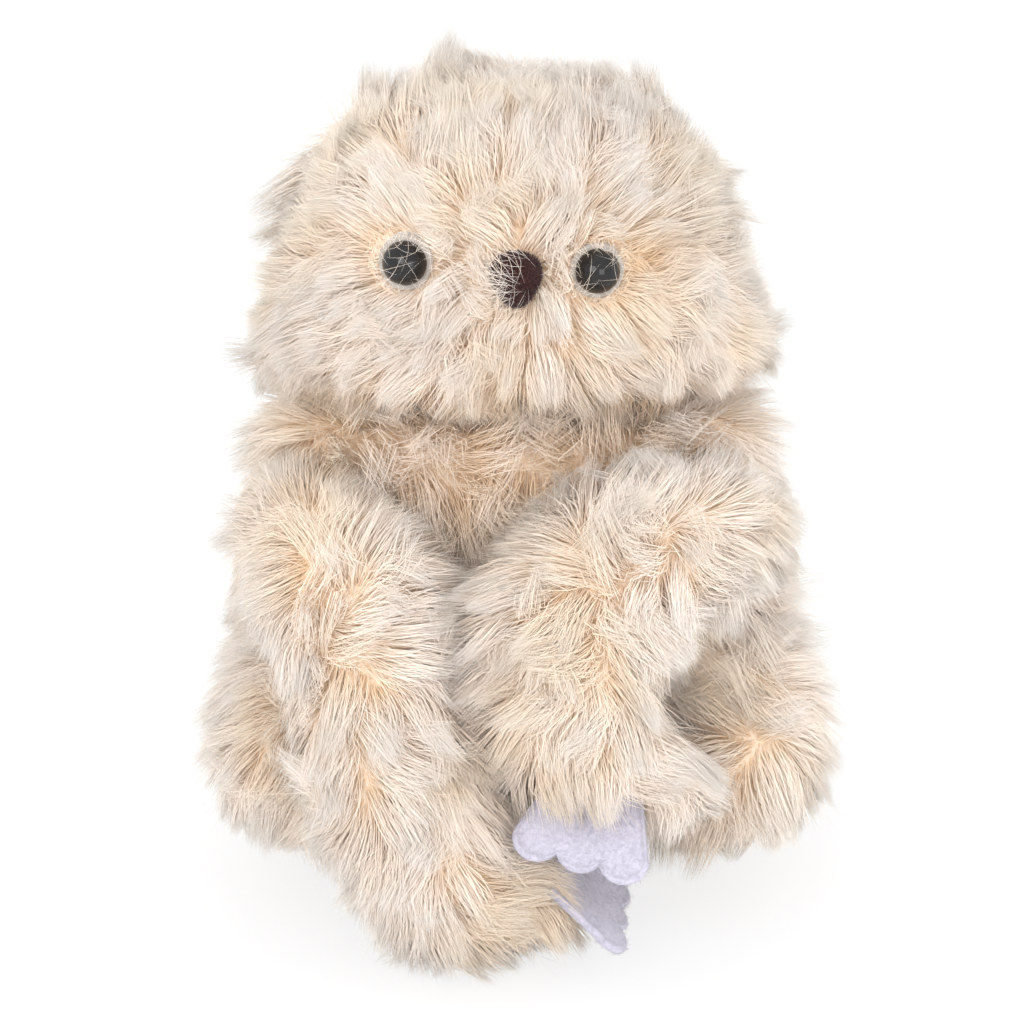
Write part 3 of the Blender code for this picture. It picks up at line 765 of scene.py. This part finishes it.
# Tufts that stand out of the head's outline: root, heading, radius, and the extra share of length
head_tufts = (
    ((-0.0150, -0.0060, 0.1640), (-0.15, 0.00, 1.0), 0.0085, 0.08),
    ((-0.0300, -0.0380, 0.1090), (0.30, -0.20, -1.0), 0.0040, 0.25),
    ((-0.0150, -0.0400, 0.1095), (0.20, -0.20, -1.0), 0.0040, 0.30),
    ((0.0005, -0.0400, 0.1090), (0.00, -0.20, -1.0), 0.0045, 0.50),
    ((0.0160, -0.0400, 0.1095), (-0.10, -0.20, -1.0), 0.0040, 0.35),
    ((0.0300, -0.0380, 0.1090), (-0.20, -0.20, -1.0), 0.0040, 0.30),
    ((-0.0280, -0.0040, 0.1560), (-0.30, 0.00, 0.9), 0.0070, 0.00),
    ((0.0110, -0.0060, 0.1640), (-0.20, 0.00, 1.0), 0.0025, 0.15),
    ((0.0260, -0.0030, 0.1580), (0.40, 0.00, 0.90), 0.0065, 0.15),
    ((0.0380, 0.0000, 0.1490), (0.90, 0.00, 0.4), 0.0060, 0.05),
    ((-0.0395, 0.0000, 0.1535), (-1.00, 0.00, 0.2), 0.0070, 0.95),
    ((-0.0435, 0.0000, 0.1440), (-1.00, 0.00, 0.0), 0.0055, 0.75),
    ((-0.0480, 0.0000, 0.1090), (-0.95, 0.00, -0.4), 0.0085, 0.35),
    ((0.0480, 0.0000, 0.1100), (0.60, 0.00, -0.8), 0.0100, 0.15),
)


class PLUSH_OT_head(bpy.types.Operator):
    """Furs the head: hair parts round the eyes and the nose and sweeps up over the crown."""

    bl_idname = "plush.head"
    bl_label = "Furred head"

    def execute(self, context):
        fur = context.scene.plush_fur
        form = upright_form("head_cover", head_rings, fur.inset, (8.0, 2.6))
        form.raise_front(0.0085, head_rings[0][0], 0.024)
        eyes, nose = face_places()
        low, middle, half = box_sizes("head_cover")
        bridge = nose + UP * 0.002

        def density(points, normals):
            """Closer on the face, and nearly bare underneath."""
            under = ease(0.5, 0.95, -normals[..., 2])
            front = ease(-0.2, 0.8, -normals[..., 1])
            return (1.0 + 0.3 * front) * (1.0 - 0.85 * under)

        def flow(points, normals, path):
            """Away from the bridge and the eyes: up over the brow, and down the cheeks and the back."""
            away = points - bridge
            distance = np.linalg.norm(away, axis=1)
            back = ease(middle[1] - 0.1 * half[1], middle[1] + 0.9 * half[1], points[:, 1])[:, None]
            brow = ease(0.002, 0.026, away[:, 2])[:, None] * (1.0 - back)
            cheek = ease(0.0, 0.024, -away[:, 2])[:, None]
            rim = ease(low[2] + 0.020, low[2] + 0.004, points[:, 2])[:, None]
            comb = unit(away) * (1.0 - 0.8 * back) * (1.0 - 0.45 * brow) + UP * 1.1 * brow
            comb = comb + DOWN * (0.7 * back + 0.45 * cheek + 0.2 * rim)
            keep = np.ones(len(points))
            close = np.zeros(len(points))
            for eye in eyes:
                from_eye = points - eye
                gap = np.linalg.norm(from_eye, axis=1)
                comb = comb + 1.5 * unit(from_eye) * (1.0 - ease(0.006, 0.016, gap))[:, None]
                keep = keep * ease(0.0050, 0.0058, gap)
                close = np.maximum(close, 1.0 - ease(0.005, 0.012, gap))
            keep = keep * ease(0.0036, 0.0046, np.linalg.norm(points - nose, axis=1))
            chin = ease(0.3, 0.7, -normals[:, 2]) * ease(-0.3, 0.3, -normals[:, 1])
            keep = keep * (1.0 - 0.5 * chin)
            near = np.minimum(distance, np.min([np.linalg.norm(points - e, axis=1) for e in eyes], 0))
            far = ease(0.004, 0.024, near)
            length = blend(0.0125, fur.pile, far)
            crown = ease(0.55, 0.95, (points[:, 2] - low[2]) / (2.0 * half[2]))
            length = length * (1.0 - 0.30 * rim[:, 0] * ease(0.0, 0.6, -normals[:, 1]))
            lift = np.radians(blend(52.0, 40.0, far) + 5.0 * crown + 8.0 * close)
            # Painted shade: the hair is tan under the chin and on the lower front of the cheeks.
            painted_shade = np.maximum(chin, 0.35 * cheek[:, 0] * ease(0.2, 0.8, -normals[:, 1]))
            # Shorter hair in each eye's outer corner, with painted shade there.
            for eye in eyes:
                corner = eye + 0.0085 * np.sign(eye[0]) * SIDE + 0.0015 * UP
                gap = np.linalg.norm((points - corner) * np.array((1.0, 0.4, 1.0)), axis=1)
                length = length * (0.25 + 0.75 * ease(0.001, 0.0055, gap))
                painted_shade = np.maximum(painted_shade, 1.0 - ease(0.002, 0.0075, gap))
            for root, heading, radius, extra in head_tufts:
                share = 1.0 - ease(0.3 * radius, 1.3 * radius, np.linalg.norm(points - root, axis=1))
                comb = comb + 4.0 * share[:, None] * np.array(heading)
                length = length * (1.0 + extra * share)
                outward = ease(0.5, 1.0, normals @ unit(np.array(heading)))
                lift = blend(lift, np.radians(52.0 + 22.0 * outward), 0.8 * share)
            comb = across(comb, normals)
            stir = 0.12 + 0.4 * ease(0.012, 0.040, near) * (1.0 - 0.75 * brow[:, 0])
            return swirled(comb, points, normals, stir, 0.022, 7), length, lift, keep, painted_shade

        def over_face(curves):
            """Which hairs hang over an eye or the nose, seen from the front."""
            flat = np.concatenate((curves, (curves[:, 1:] + curves[:, :-1]) / 2.0), 1)[..., ::2]
            spots = ((eyes[0], 0.0050), (eyes[1], 0.0050), (nose, 0.0034))
            over = [np.linalg.norm(flat - spot[::2], axis=-1).min(1) < radius for spot, radius in spots]
            return np.any(over, 0) & (curves[:, 0, 1] < middle[1])

        nodes = ("head_cover", "head_stuffing")
        furred(form, "head", "head", nodes, fur.head_hairs, 4, density, flow, 23, over_face)
        return {"FINISHED"}


# Rings of each arm from the shoulder to the paw, in metres: x, y, z and radius of the pile's outline
arm_rings = {
    "right": (
        (-0.0450, -0.0180, 0.0830, 0.0140),
        (-0.0418, -0.0370, 0.0800, 0.0172),
        (-0.0322, -0.0530, 0.0700, 0.0200),
        (-0.0248, -0.0640, 0.0478, 0.0216),
        (-0.0148, -0.0700, 0.0220, 0.0194),
        (-0.0020, -0.0710, 0.0160, 0.0170),
        (0.0100, -0.0710, 0.0140, 0.0132),
    ),
    "left": (
        (0.0460, -0.0180, 0.0830, 0.0145),
        (0.0400, -0.0370, 0.0822, 0.0172),
        (0.0245, -0.0520, 0.0800, 0.0200),
        (0.0110, -0.0640, 0.0660, 0.0212),
        (0.0150, -0.0700, 0.0510, 0.0192),
        (0.0262, -0.0714, 0.0437, 0.0146),
        (0.0355, -0.0698, 0.0410, 0.0115),
    ),
}
# How much shorter the hair is round each felt claw
short_share = {"right": 0.25, "left": 0.1}
# The heights between which each upper arm's hair turns from down the arm to upwards
arm_turns = {"right": (0.058, 0.086), "left": (0.066, 0.094)}
# Rings of the left leg from the hip forwards, in metres: x, y, z, half width and half height
leg_rings = (
    (0.0400, 0.0110, 0.0330, 0.0150, 0.0190),
    (0.0430, -0.0010, 0.0320, 0.0206, 0.0272),
    (0.0456, -0.0200, 0.0315, 0.0222, 0.0284),
    (0.0448, -0.0365, 0.0312, 0.0208, 0.0238),
    (0.0425, -0.0490, 0.0340, 0.0175, 0.0170),
)


class PLUSH_OT_arms(bpy.types.Operator):
    """Furs both arms from the shoulder to the felt claw."""

    bl_idname = "plush.arms"
    bl_label = "Furred arms"

    def execute(self, context):
        fur, claw = context.scene.plush_fur, context.scene.plush_claw
        side = unit(np.array((0.3, 0.6, -0.6)))
        for side_name, seed in (("right", 37), ("left", 41)):
            arm, felt = side_name + "_arm", side_name + "_claw_felt"
            rings = [(x, y, z, r - fur.inset, r - fur.inset) for x, y, z, r in arm_rings[side_name]]
            form = Form(rings, side, (5.0, 4.0), 80, 64)
            plate = claw_place(node_points(felt), claw)

            def density(points, normals):
                """Equally close all over."""
                return np.ones(points.shape[:-1])

            def flow(points, normals, path):
                """Along the arm, turning up and inwards by the shoulder, and down outside and behind."""
                behind = ease(-0.050, -0.032, points[:, 1])[:, None]
                inner = -np.sign(arm_rings[side_name][0][0]) * SIDE
                low, high = arm_turns[side_name]
                turn = math.radians(145.0) * ease(low, high, points[:, 2:])
                outer = ease(0.2, 0.8, -(normals * inner).sum(1))[:, None]
                comb = np.cos(turn) * (path + 0.2 * DOWN) + np.sin(turn) * inner
                comb = blend(comb, DOWN - 0.25 * inner, np.maximum(0.8 * behind, outer))
                comb = swirled(across(comb, normals), points, normals, 0.55, 0.015, 9)
                near = 1.0 - ease(0.010, 0.026, np.linalg.norm(points - box_sizes(felt)[1], axis=1))
                comb = across(comb + 1.2 * near[:, None] * DOWN, normals)
                facing = ease(0.2, 0.9, (normals * inner).sum(1))
                length = fur.pile * (1.0 - short_share[side_name] * near + 0.12 * facing)
                lift = np.radians(40.0 + 13.0 * facing)
                # Painted shade: tan hair round the felt claw and on the inner sides, where the arms face each
                # other.
                return comb, length, lift, np.ones(len(points)), np.maximum(0.25 * near, 0.3 * facing)

            def cut(curves):
                return pierced(curves, plate, claw)

            nodes = (arm + "_cover", arm + "_stuffing")
            furred(form, arm, arm, nodes, fur.arm_hairs, 2, density, flow, seed, cut)
        return {"FINISHED"}


class PLUSH_OT_legs(bpy.types.Operator):
    """Furs both folded legs, which lie a little to the toy's left, as the photo shows them."""

    bl_idname = "plush.legs"
    bl_label = "Furred legs"

    def execute(self, context):
        fur = context.scene.plush_fur
        to_left = 0.0015
        for leg, sign, seed in (("right_leg", -1.0, 53), ("left_leg", 1.0, 59)):
            rings = [(sign * x + to_left, y, z, w - fur.inset, h - fur.inset) for x, y, z, w, h in leg_rings]
            form = Form(rings, SIDE, (4.0, 4.0), 64, 72)
            form.press(0.0012)

            def density(points, normals):
                """Nearly bare underneath."""
                return 1.0 - 0.85 * ease(0.3, 0.9, -normals[..., 2])

            def flow(points, normals, path):
                """Down and outwards, and longer towards the belly."""
                out = normals * np.array((1.0, 1.0, 0.0))
                comb = across(DOWN * 0.6 + path * 0.15 + out * 0.4, normals)
                comb = swirled(comb, points, normals, 0.5, 0.026, 13)
                inner = ease(-0.4, 0.4, -sign * normals[:, 0]) * ease(0.012, 0.026, points[:, 2])
                length = fur.pile * (0.95 - 0.42 * ease(0.0, 0.7, -normals[:, 2]))
                length = length * (1.0 + 0.5 * inner)
                lift = np.radians(38.0 + 12.0 * ease(0.2, 0.8, normals[:, 2]) + 16.0 * inner)
                # Painted shade: tan hair on the leg's inner side, under the arm.
                return comb, length, lift, np.ones(len(points)), 0.4 * inner

            nodes = (leg + "_cover", leg + "_stuffing")
            furred(form, leg, leg, nodes, fur.leg_hairs, 1, density, flow, seed)
        return {"FINISHED"}


def lathe(name, profile, place, columns=64):
    """A turned piece: the profile (radius, height) round its axis, from the front pole to the back."""
    origin, x, y, z = place
    radius, height = np.asarray(profile).T[..., None, None]
    grid = origin + radius * round_axes(columns, x, y) + height * z
    return closed_grid(name, grid[::-1])


def looking(origin, yaw, pitch):
    """A place whose z looks out of the face, turned sideways by yaw and up by pitch."""
    z = np.array((math.sin(yaw) * math.cos(pitch), -math.cos(yaw) * math.cos(pitch), math.sin(pitch)))
    x = unit(np.cross(UP, z))
    return origin, x, np.cross(z, x), z


def web(name, place, outer, base, rise, count, spread, runs, rng, heading=None, widest=0.00009):
    """Fine hairs that lie over a domed piece.

    Each runs straight across it, seen from the front, from the circle of radius outer, for a
    share of the circle's width between the two in runs. Its height is a low parabola over the
    axis that clears the dome. heading is the side that they mostly start from, and without it
    they start from all sides.
    """
    sideways, round_heading = 0.22, 0.8
    origin, x, y, z = place
    if heading is None:
        start = rng.uniform(0.0, math.tau, count)
    else:
        start = rng.normal(heading, round_heading, count)
    turn = math.pi + rng.normal(0.0, spread, count)
    run = rng.uniform(*runs, count)
    first, last = (outer * np.stack((np.cos(a), np.sin(a)), -1) for a in (start, start + turn))
    s = np.linspace(0.0, 1.0, 8)[None, :, None]
    bow = rng.normal(0.0, sideways * outer, (count, 1, 1)) * np.sin(math.pi * s)
    ahead = (last - first)[:, None]
    aside = unit(np.stack((-ahead[..., 1], ahead[..., 0]), -1))
    flat = first[:, None] + ahead * s * run[:, None, None] + aside * bow
    share = (flat**2).sum(-1) / outer**2
    height = base + (rise + rng.uniform(0.0004, 0.0012, (count, 1))) * (1.0 - share)
    curves = origin + flat[..., :1] * x + flat[..., 1:] * y + height[..., None] * z
    widths = widest * rng.uniform(0.45, 1.0, count)
    shades = rng.uniform(0.5, 1.0, count)
    made = hairs(name, curves, widths, shades, np.broadcast_to(z, (count, 3)), 3.0)
    dressed(made, pile_material(), "head", "fur_cloth")


class PLUSH_OT_eyes(bpy.types.Operator):
    """Makes both domed eyes, their pale rings and the fine hairs that cross them."""

    bl_idname = "plush.eyes"
    bl_label = "Eyes"

    def execute(self, context):
        face = context.scene.plush_face
        blacks = ((0.006, 0.006, 0.007), (0.018, 0.016, 0.015))
        pales = ((0.36, 0.31, 0.27), (0.66, 0.61, 0.56))
        dome_looks = speckled("eye_gloss", (0.04, 0.45), blacks, 700.0)
        ring_looks = speckled("eye_ring_pale", (0.45, 0.4), pales, 400.0)
        for node, sign, seed in (("right_eye", -1.0, 67), ("left_eye", 1.0, 61)):
            _, x, y, z = looking(np.zeros(3), sign * face.yaw, face.pitch)
            along = node_points(node) @ z
            centre = box_sizes(node + "_ring")[1]
            place = (centre - z * (centre @ z), x, y, z)
            front, back = along.max(), along.min()
            base = front - face.dome
            turn = np.linspace(0.0, math.pi / 2.0, 24)
            dome = np.stack((face.eye_radius * np.sin(turn), base + face.dome * np.cos(turn)), -1)
            lip, bevel, thin = 0.0003, 0.0002, 0.8
            rim = [(face.eye_radius * 0.985, base - lip), (face.shaft_radius, base - lip)]
            shaft = [(face.shaft_radius, back + bevel), (face.shaft_radius * thin, back), (0.0, back)]
            eye = lathe(node + "_dome", np.concatenate((dome, rim, shaft)), place)
            dressed(eye, dome_looks, "head", "eye_plastic", node)
            self.ring(node + "_ring", face, place, base, ring_looks)
            rng = np.random.default_rng(seed)
            foot, lift = base - 0.0022, face.dome + 0.0022
            web(node + "_web", place, 2.0 * face.eye_radius, foot, lift, face.web, 1.35, (0.3, 0.75), rng)
            outer, foot, lift, count = 1.55 * face.eye_radius, base - 0.0006, 0.0030, 6 * face.web
            widest = 0.00013
            web(node + "_lashes", place, outer, foot, lift, count, 0.9, (0.06, 0.26), rng, None, widest)
        return {"FINISHED"}

    def ring(self, node, face, place, base, looks):
        """A rounded section carried round the eye's axis, between the shaft and the ring's outer edge.

        The section is its middle + (a cos(t)^0.5, b sin(t)^0.7), with the signs of cos and sin.
        """
        inner, outer = face.shaft_radius + 0.0002, face.ring_radius
        high, low = base - 0.0004, base - 0.0013
        cos, sin = np.cos(round_angles(24)), np.sin(round_angles(24))
        radius = (inner + outer) / 2.0 + (outer - inner) / 2.0 * np.sign(cos) * np.abs(cos) ** 0.5
        height = (high + low) / 2.0 + (high - low) / 2.0 * np.sign(sin) * np.abs(sin) ** 0.7
        origin, x, y, z = place
        grid = origin + radius[:, None, None] * round_axes(64, x, y) + height[:, None, None] * z
        rows, columns = grid.shape[:2]
        quads = lattice(rows, columns, rows)
        ring = build_mesh(node + "_rim", grid.reshape(-1, 3), quads.ravel(), np.full(len(quads), 4))
        dressed(ring, looks, "head", "eye_ring", node)


class PLUSH_OT_nose(bpy.types.Operator):
    """Makes the flocked nose: a swollen pad, wider towards its top, and the flock's short hairs."""

    bl_idname = "plush.nose"
    bl_label = "Nose"

    def execute(self, context):
        face = context.scene.plush_face
        middle, half = box_sizes("nose")[1:]
        half = half * np.array((0.96, 1.0, 0.93))
        depth, widening, tousle, hair_width = 0.0072, 0.28, 0.7, 0.00012
        x, y, z = looking(middle, 0.0, face.pitch)[1:]
        front = (node_points("nose") @ z).max()
        centre = middle + z * (front - depth / 2.0 - middle @ z)

        def pad(a, b, c):
            """The pad's point for a point (a, b, c) of the unit ball."""
            across_it, up_it, out_of_it = a * (1.0 + widening * b) * half[0], b * half[2], c * depth / 2.0
            return centre + across_it[..., None] * x + up_it[..., None] * y + out_of_it[..., None] * z

        tilt = np.linspace(0.0, math.pi, 48)[:, None]
        turn = round_angles(64)[None]
        a, b, c = np.sin(tilt) * np.cos(turn), np.sin(tilt) * np.sin(turn), -np.cos(tilt) * np.ones_like(turn)
        pad_grid = pad(a, b, c)
        reds = [share * np.array(face.nose) for share in (0.4, 2.4)]
        looks = speckled("nose_flock", (0.85, 0.25, (0.35, 0.5)), reds, 1500.0, 3.0, ends=(0.3, 0.75))
        dressed(closed_grid("nose_pad", pad_grid), looks, "head", "nose_flock", "nose")

        rng = np.random.default_rng(71)
        count = face.flock
        c = rng.uniform(-0.4, 1.0, count)
        turn = rng.uniform(0.0, math.tau, count)
        a, b = np.sqrt(1.0 - c**2) * np.cos(turn), np.sqrt(1.0 - c**2) * np.sin(turn)
        lean = (a / half[0])[:, None] * x + (b / half[2])[:, None] * y + (c / depth * 2.0)[:, None] * z
        normals = unit(lean)
        comb = across(UP + rng.normal(0.0, tousle, (count, 3)), normals)
        length, lift = rng.uniform(0.0006, 0.0011, count), rng.uniform(0.5, 1.3, count)
        curves = arcs(pad(a, b, c), normals, comb, length, lift, 0.9, np.linspace(0.0, 1.0, 3))
        lowest = (centre - z * depth / 2.0) @ z
        place = (centre - z * (centre @ z), x, y, z)
        strands, widest = 6 * face.web, 0.00014
        web("nose_web", place, 0.0095, lowest, depth, strands, 0.9, (0.15, 0.6), rng, math.pi, widest)
        nap = hairs("nose_nap", curves, np.full(count, hair_width), rng.random(count), normals)
        dressed(nap, looks, "head", "nose_flock")
        return {"FINISHED"}


def claw_outline(claw, count):
    """The outline of the felt at even steps: root edge, flaring sides and three round lobes.

    The lobes are equal arcs that meet in notches, each notch angle below the lobes' middles.
    """
    lobe = claw.width / (2.0 + 4.0 * math.cos(claw.notch))
    knuckle = claw.length - lobe
    corners = [(claw.root / 2.0, 0.0), (-claw.root / 2.0, 0.0)]
    for k, (before, after) in enumerate(((0.0, claw.notch), (claw.notch, claw.notch), (claw.notch, 0.0))):
        middle = (k - 1) * 2.0 * lobe * math.cos(claw.notch)
        turn = np.linspace(math.pi + before, math.tau - after, 25)
        corners.extend(zip(middle + lobe * np.cos(turn), lobe * np.sin(turn) - knuckle))
    corners = np.array(corners + corners[:1])
    run = np.concatenate(([0.0], np.cumsum(np.linalg.norm(np.diff(corners, axis=0), axis=1))))
    even = np.linspace(0.0, run[-1], count, endpoint=False)
    return np.stack([np.interp(even, run, corners[:, k]) for k in (0, 1)], -1)


class PLUSH_OT_washers(bpy.types.Operator):
    """Finishes the plastic washers that hold the eyes and the nose from inside."""

    bl_idname = "plush.washers"
    bl_label = "Washers"

    def execute(self, context):
        looks = speckled("washer_white", (0.45, 0.5), ((0.70, 0.70, 0.68), (0.80, 0.80, 0.78)), 300.0)
        for node in ("left_eye_washer", "right_eye_washer", "nose_washer"):
            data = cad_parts[node].data
            data.materials.clear()
            data.materials.append(looks)
        return {"FINISHED"}


class PLUSH_OT_claws(bpy.types.Operator):
    """Makes both felt claws with rounded edges and loose fibres."""

    bl_idname = "plush.claws"
    bl_label = "Felt claws"

    def execute(self, context):
        claw = context.scene.plush_claw
        lilacs = (0.86 * np.array(claw.felt), np.minimum(1.12 * np.array(claw.felt), 1.0))
        plain = (0.95, 0.15, (0.3, 0.5))
        looks = speckled("felt_lilac", plain, lilacs, 900.0, 5.0, 1.5, (0.3, 0.7), (0.5, 0.0003))
        for side_name, seed in (("right", 83), ("left", 89)):
            self.plate(side_name, claw, looks, np.random.default_rng(seed))
        return {"FINISHED"}

    def plate(self, side_name, claw, looks, rng):
        """The felt: the outline drawn in towards its middle on both faces, with a rounded edge.

        Each row of the grid lies at a share of the way from the middle to the outline and at a
        height, so the rows run over one face, round the edge and back over the other face. The
        edge's rounding starts at the share flat.
        """
        node = side_name + "_claw_felt"
        origin, x, y, z = claw_place(node_points(node), claw)
        flat, bend, hair_width, edge_share = 0.93, 0.0007, 0.00007, 0.35
        outline = claw_outline(claw, 160)
        heart = np.array((0.0, -claw.length * 0.35))
        half = claw.thickness / 2.0
        turn = np.linspace(0.0, math.pi, 9)
        face = np.linspace(0.0, flat, 12)
        share = np.concatenate((face, flat + (1.0 - flat) * np.sin(turn), face[::-1]))
        height = np.concatenate((np.full(12, half), half * np.cos(turn), np.full(12, -half)))
        grid = heart + share[:, None, None] * (outline - heart)

        def placed(places, heights):
            """Points of the plate, which waves gently by bend sin(5 x / width + 0.6) sin(2.5 y / length)."""
            waves = np.sin(places[..., 0] / claw.width * 5.0 + 0.6)
            waves = bend * waves * np.sin(places[..., 1] / claw.length * 2.5)
            return origin + places[..., :1] * x + places[..., 1:] * y + (heights + waves)[..., None] * z

        plate = closed_grid(node + "_plate", placed(grid, height[:, None])[::-1])
        dressed(plate, looks, side_name + "_arm", "claw_felt", node)

        count = claw.fibres
        reach = np.sqrt(rng.random((count, 1))) * 0.99
        places = heart + reach * (outline[rng.integers(0, len(outline), count)] - heart)
        on_edge = rng.random(count) < edge_share
        places[on_edge] = heart + 0.985 * (outline[rng.integers(0, len(outline), on_edge.sum())] - heart)
        up_side = np.where(rng.random(count) < 0.5, 1.0, -1.0)
        roots = placed(places, up_side * half * np.where(on_edge, rng.random(count), 0.97))
        outward = unit(places - heart)
        outward = outward[:, :1] * x + outward[:, 1:] * y
        normals = unit(up_side[:, None] * z + np.where(on_edge, 1.2, 0.0)[:, None] * outward)
        comb = across(rng.normal(0.0, 1.0, (count, 3)), normals)
        length, lift = rng.uniform(0.0007, 0.0019, count), rng.uniform(0.1, 0.55, count)
        curves = arcs(roots, normals, comb, length, lift, -0.4, np.linspace(0.0, 1.0, 3))
        fuzz = hairs(node + "_fuzz", curves, np.full(count, hair_width), rng.random(count), normals)
        dressed(fuzz, looks, side_name + "_arm", "claw_felt")


def show_white(tree, own, kind, output, share=1.0):
    """Mixes plain white into a shader, by share, where the camera, gloss or glass sees it.

    Its light on other surfaces stays the shader's own.
    """
    rays = added(tree, "ShaderNodeLightPath").outputs
    seen = rays["Is Camera Ray"]
    for name in ("Is Glossy Ray", "Is Transmission Ray"):
        seen = worked(tree, "MAXIMUM", seen, rays[name])
    white = added(tree, kind, {"Color": (1.0, 1.0, 1.0, 1.0), "Strength": 1.0})
    inputs = {0: worked(tree, "MULTIPLY", seen, share), 1: own.outputs[0], 2: white.outputs[0]}
    mix = added(tree, "ShaderNodeMixShader", inputs)
    tree.links.new(mix.outputs[0], tree.nodes[output].inputs["Surface"])


class PLUSH_OT_stage(bpy.types.Operator):
    """Sets the floor, the lamps, the world and the camera."""

    bl_idname = "plush.stage"
    bl_label = "Stage"

    def execute(self, context):
        stage = context.scene.plush_stage
        self.floor()
        self.world(stage)
        aim = np.array(stage.aim)
        self.lamp("key_lamp", aim, (-0.32, -0.80, 0.36), 0.42, stage.key)
        self.lamp("fill_lamp", aim, (0.34, -0.82, 0.14), 0.36, stage.fill)
        away = np.array((0.0, -math.cos(stage.elevation), math.sin(stage.elevation)))
        camera = bpy.data.cameras.new("camera")
        camera.sensor_width = 36.0
        camera.lens = camera.sensor_width * stage.distance / stage.view_width
        camera.clip_start = 0.01
        seat = bpy.data.objects.new("camera", camera)
        context.scene.collection.objects.link(seat)
        seat.location = aim + away * stage.distance
        seat.rotation_euler = Vector(away).to_track_quat("Z", "Y").to_euler()
        context.scene.camera = seat
        context.scene.view_settings.view_transform = "Standard"
        return {"FINISHED"}

    def lamp(self, name, aim, offset, size, watts):
        """A soft square lamp that looks at the toy."""
        data = bpy.data.lights.new(name, "AREA")
        data.size = size
        data.energy = watts
        lamp = bpy.data.objects.new(name, data)
        bpy.context.scene.collection.objects.link(lamp)
        lamp.location = aim + np.array(offset)
        lamp.rotation_euler = Vector(offset).to_track_quat("Z", "Y").to_euler()

    def floor(self):
        """A pale floor that stays white to the camera and keeps the shadow."""
        half, below = 3.0, -0.0003
        points = [(-half, -half, below), (half, -half, below), (half, half, below), (-half, half, below)]
        floor = build_mesh("floor", np.array(points), np.arange(4), np.array([4]))
        looks, tree, shader = new_material("floor_pale", 0.9, 0.1)
        shader.inputs["Base Color"].default_value = (0.93, 0.93, 0.93, 1.0)
        show_white(tree, shader, "ShaderNodeEmission", "Material Output", 0.8)
        floor.data.materials.append(looks)

    def world(self, stage):
        """Even light, and white where the camera, gloss or glass sees the world."""
        world = bpy.data.worlds.new("studio")
        bpy.context.scene.world = world
        world.use_nodes = True
        soft = world.node_tree.nodes["Background"]
        soft.inputs["Color"].default_value = (1.0, 1.0, 1.0, 1.0)
        soft.inputs["Strength"].default_value = stage.ambient
        show_white(world.node_tree, soft, "ShaderNodeBackground", "World Output")


class PLUSH_PT_panel(bpy.types.Panel):
    """Lists the toy's pieces in the sidebar."""

    bl_idname = "PLUSH_PT_panel"
    bl_label = "Plush animal"
    bl_space_type = "VIEW_3D"
    bl_region_type = "UI"
    bl_category = "Plush"

    def draw(self, context):
        for name in steps:
            self.layout.operator("plush." + name)


groups = {
    "plush_fur": PlushFur,
    "plush_face": PlushFace,
    "plush_claw": PlushClaw,
    "plush_stage": PlushStage,
}
steps = ("body", "head", "arms", "legs", "eyes", "nose", "washers", "claws", "stage")
operators = (
    PLUSH_OT_body,
    PLUSH_OT_head,
    PLUSH_OT_arms,
    PLUSH_OT_legs,
    PLUSH_OT_eyes,
    PLUSH_OT_nose,
    PLUSH_OT_washers,
    PLUSH_OT_claws,
    PLUSH_OT_stage,
)


def register():
    for made in (*groups.values(), *operators, PLUSH_PT_panel):
        bpy.utils.register_class(made)
    for name, made in groups.items():
        setattr(bpy.types.Scene, name, PointerProperty(type=made))


def unregister():
    for name in groups:
        delattr(bpy.types.Scene, name)
    for made in (PLUSH_PT_panel, *reversed(operators), *groups.values()):
        bpy.utils.unregister_class(made)


def main():
    register()
    for name in steps:
        getattr(bpy.ops.plush, name)()


if __name__ == "__main__":
    main()
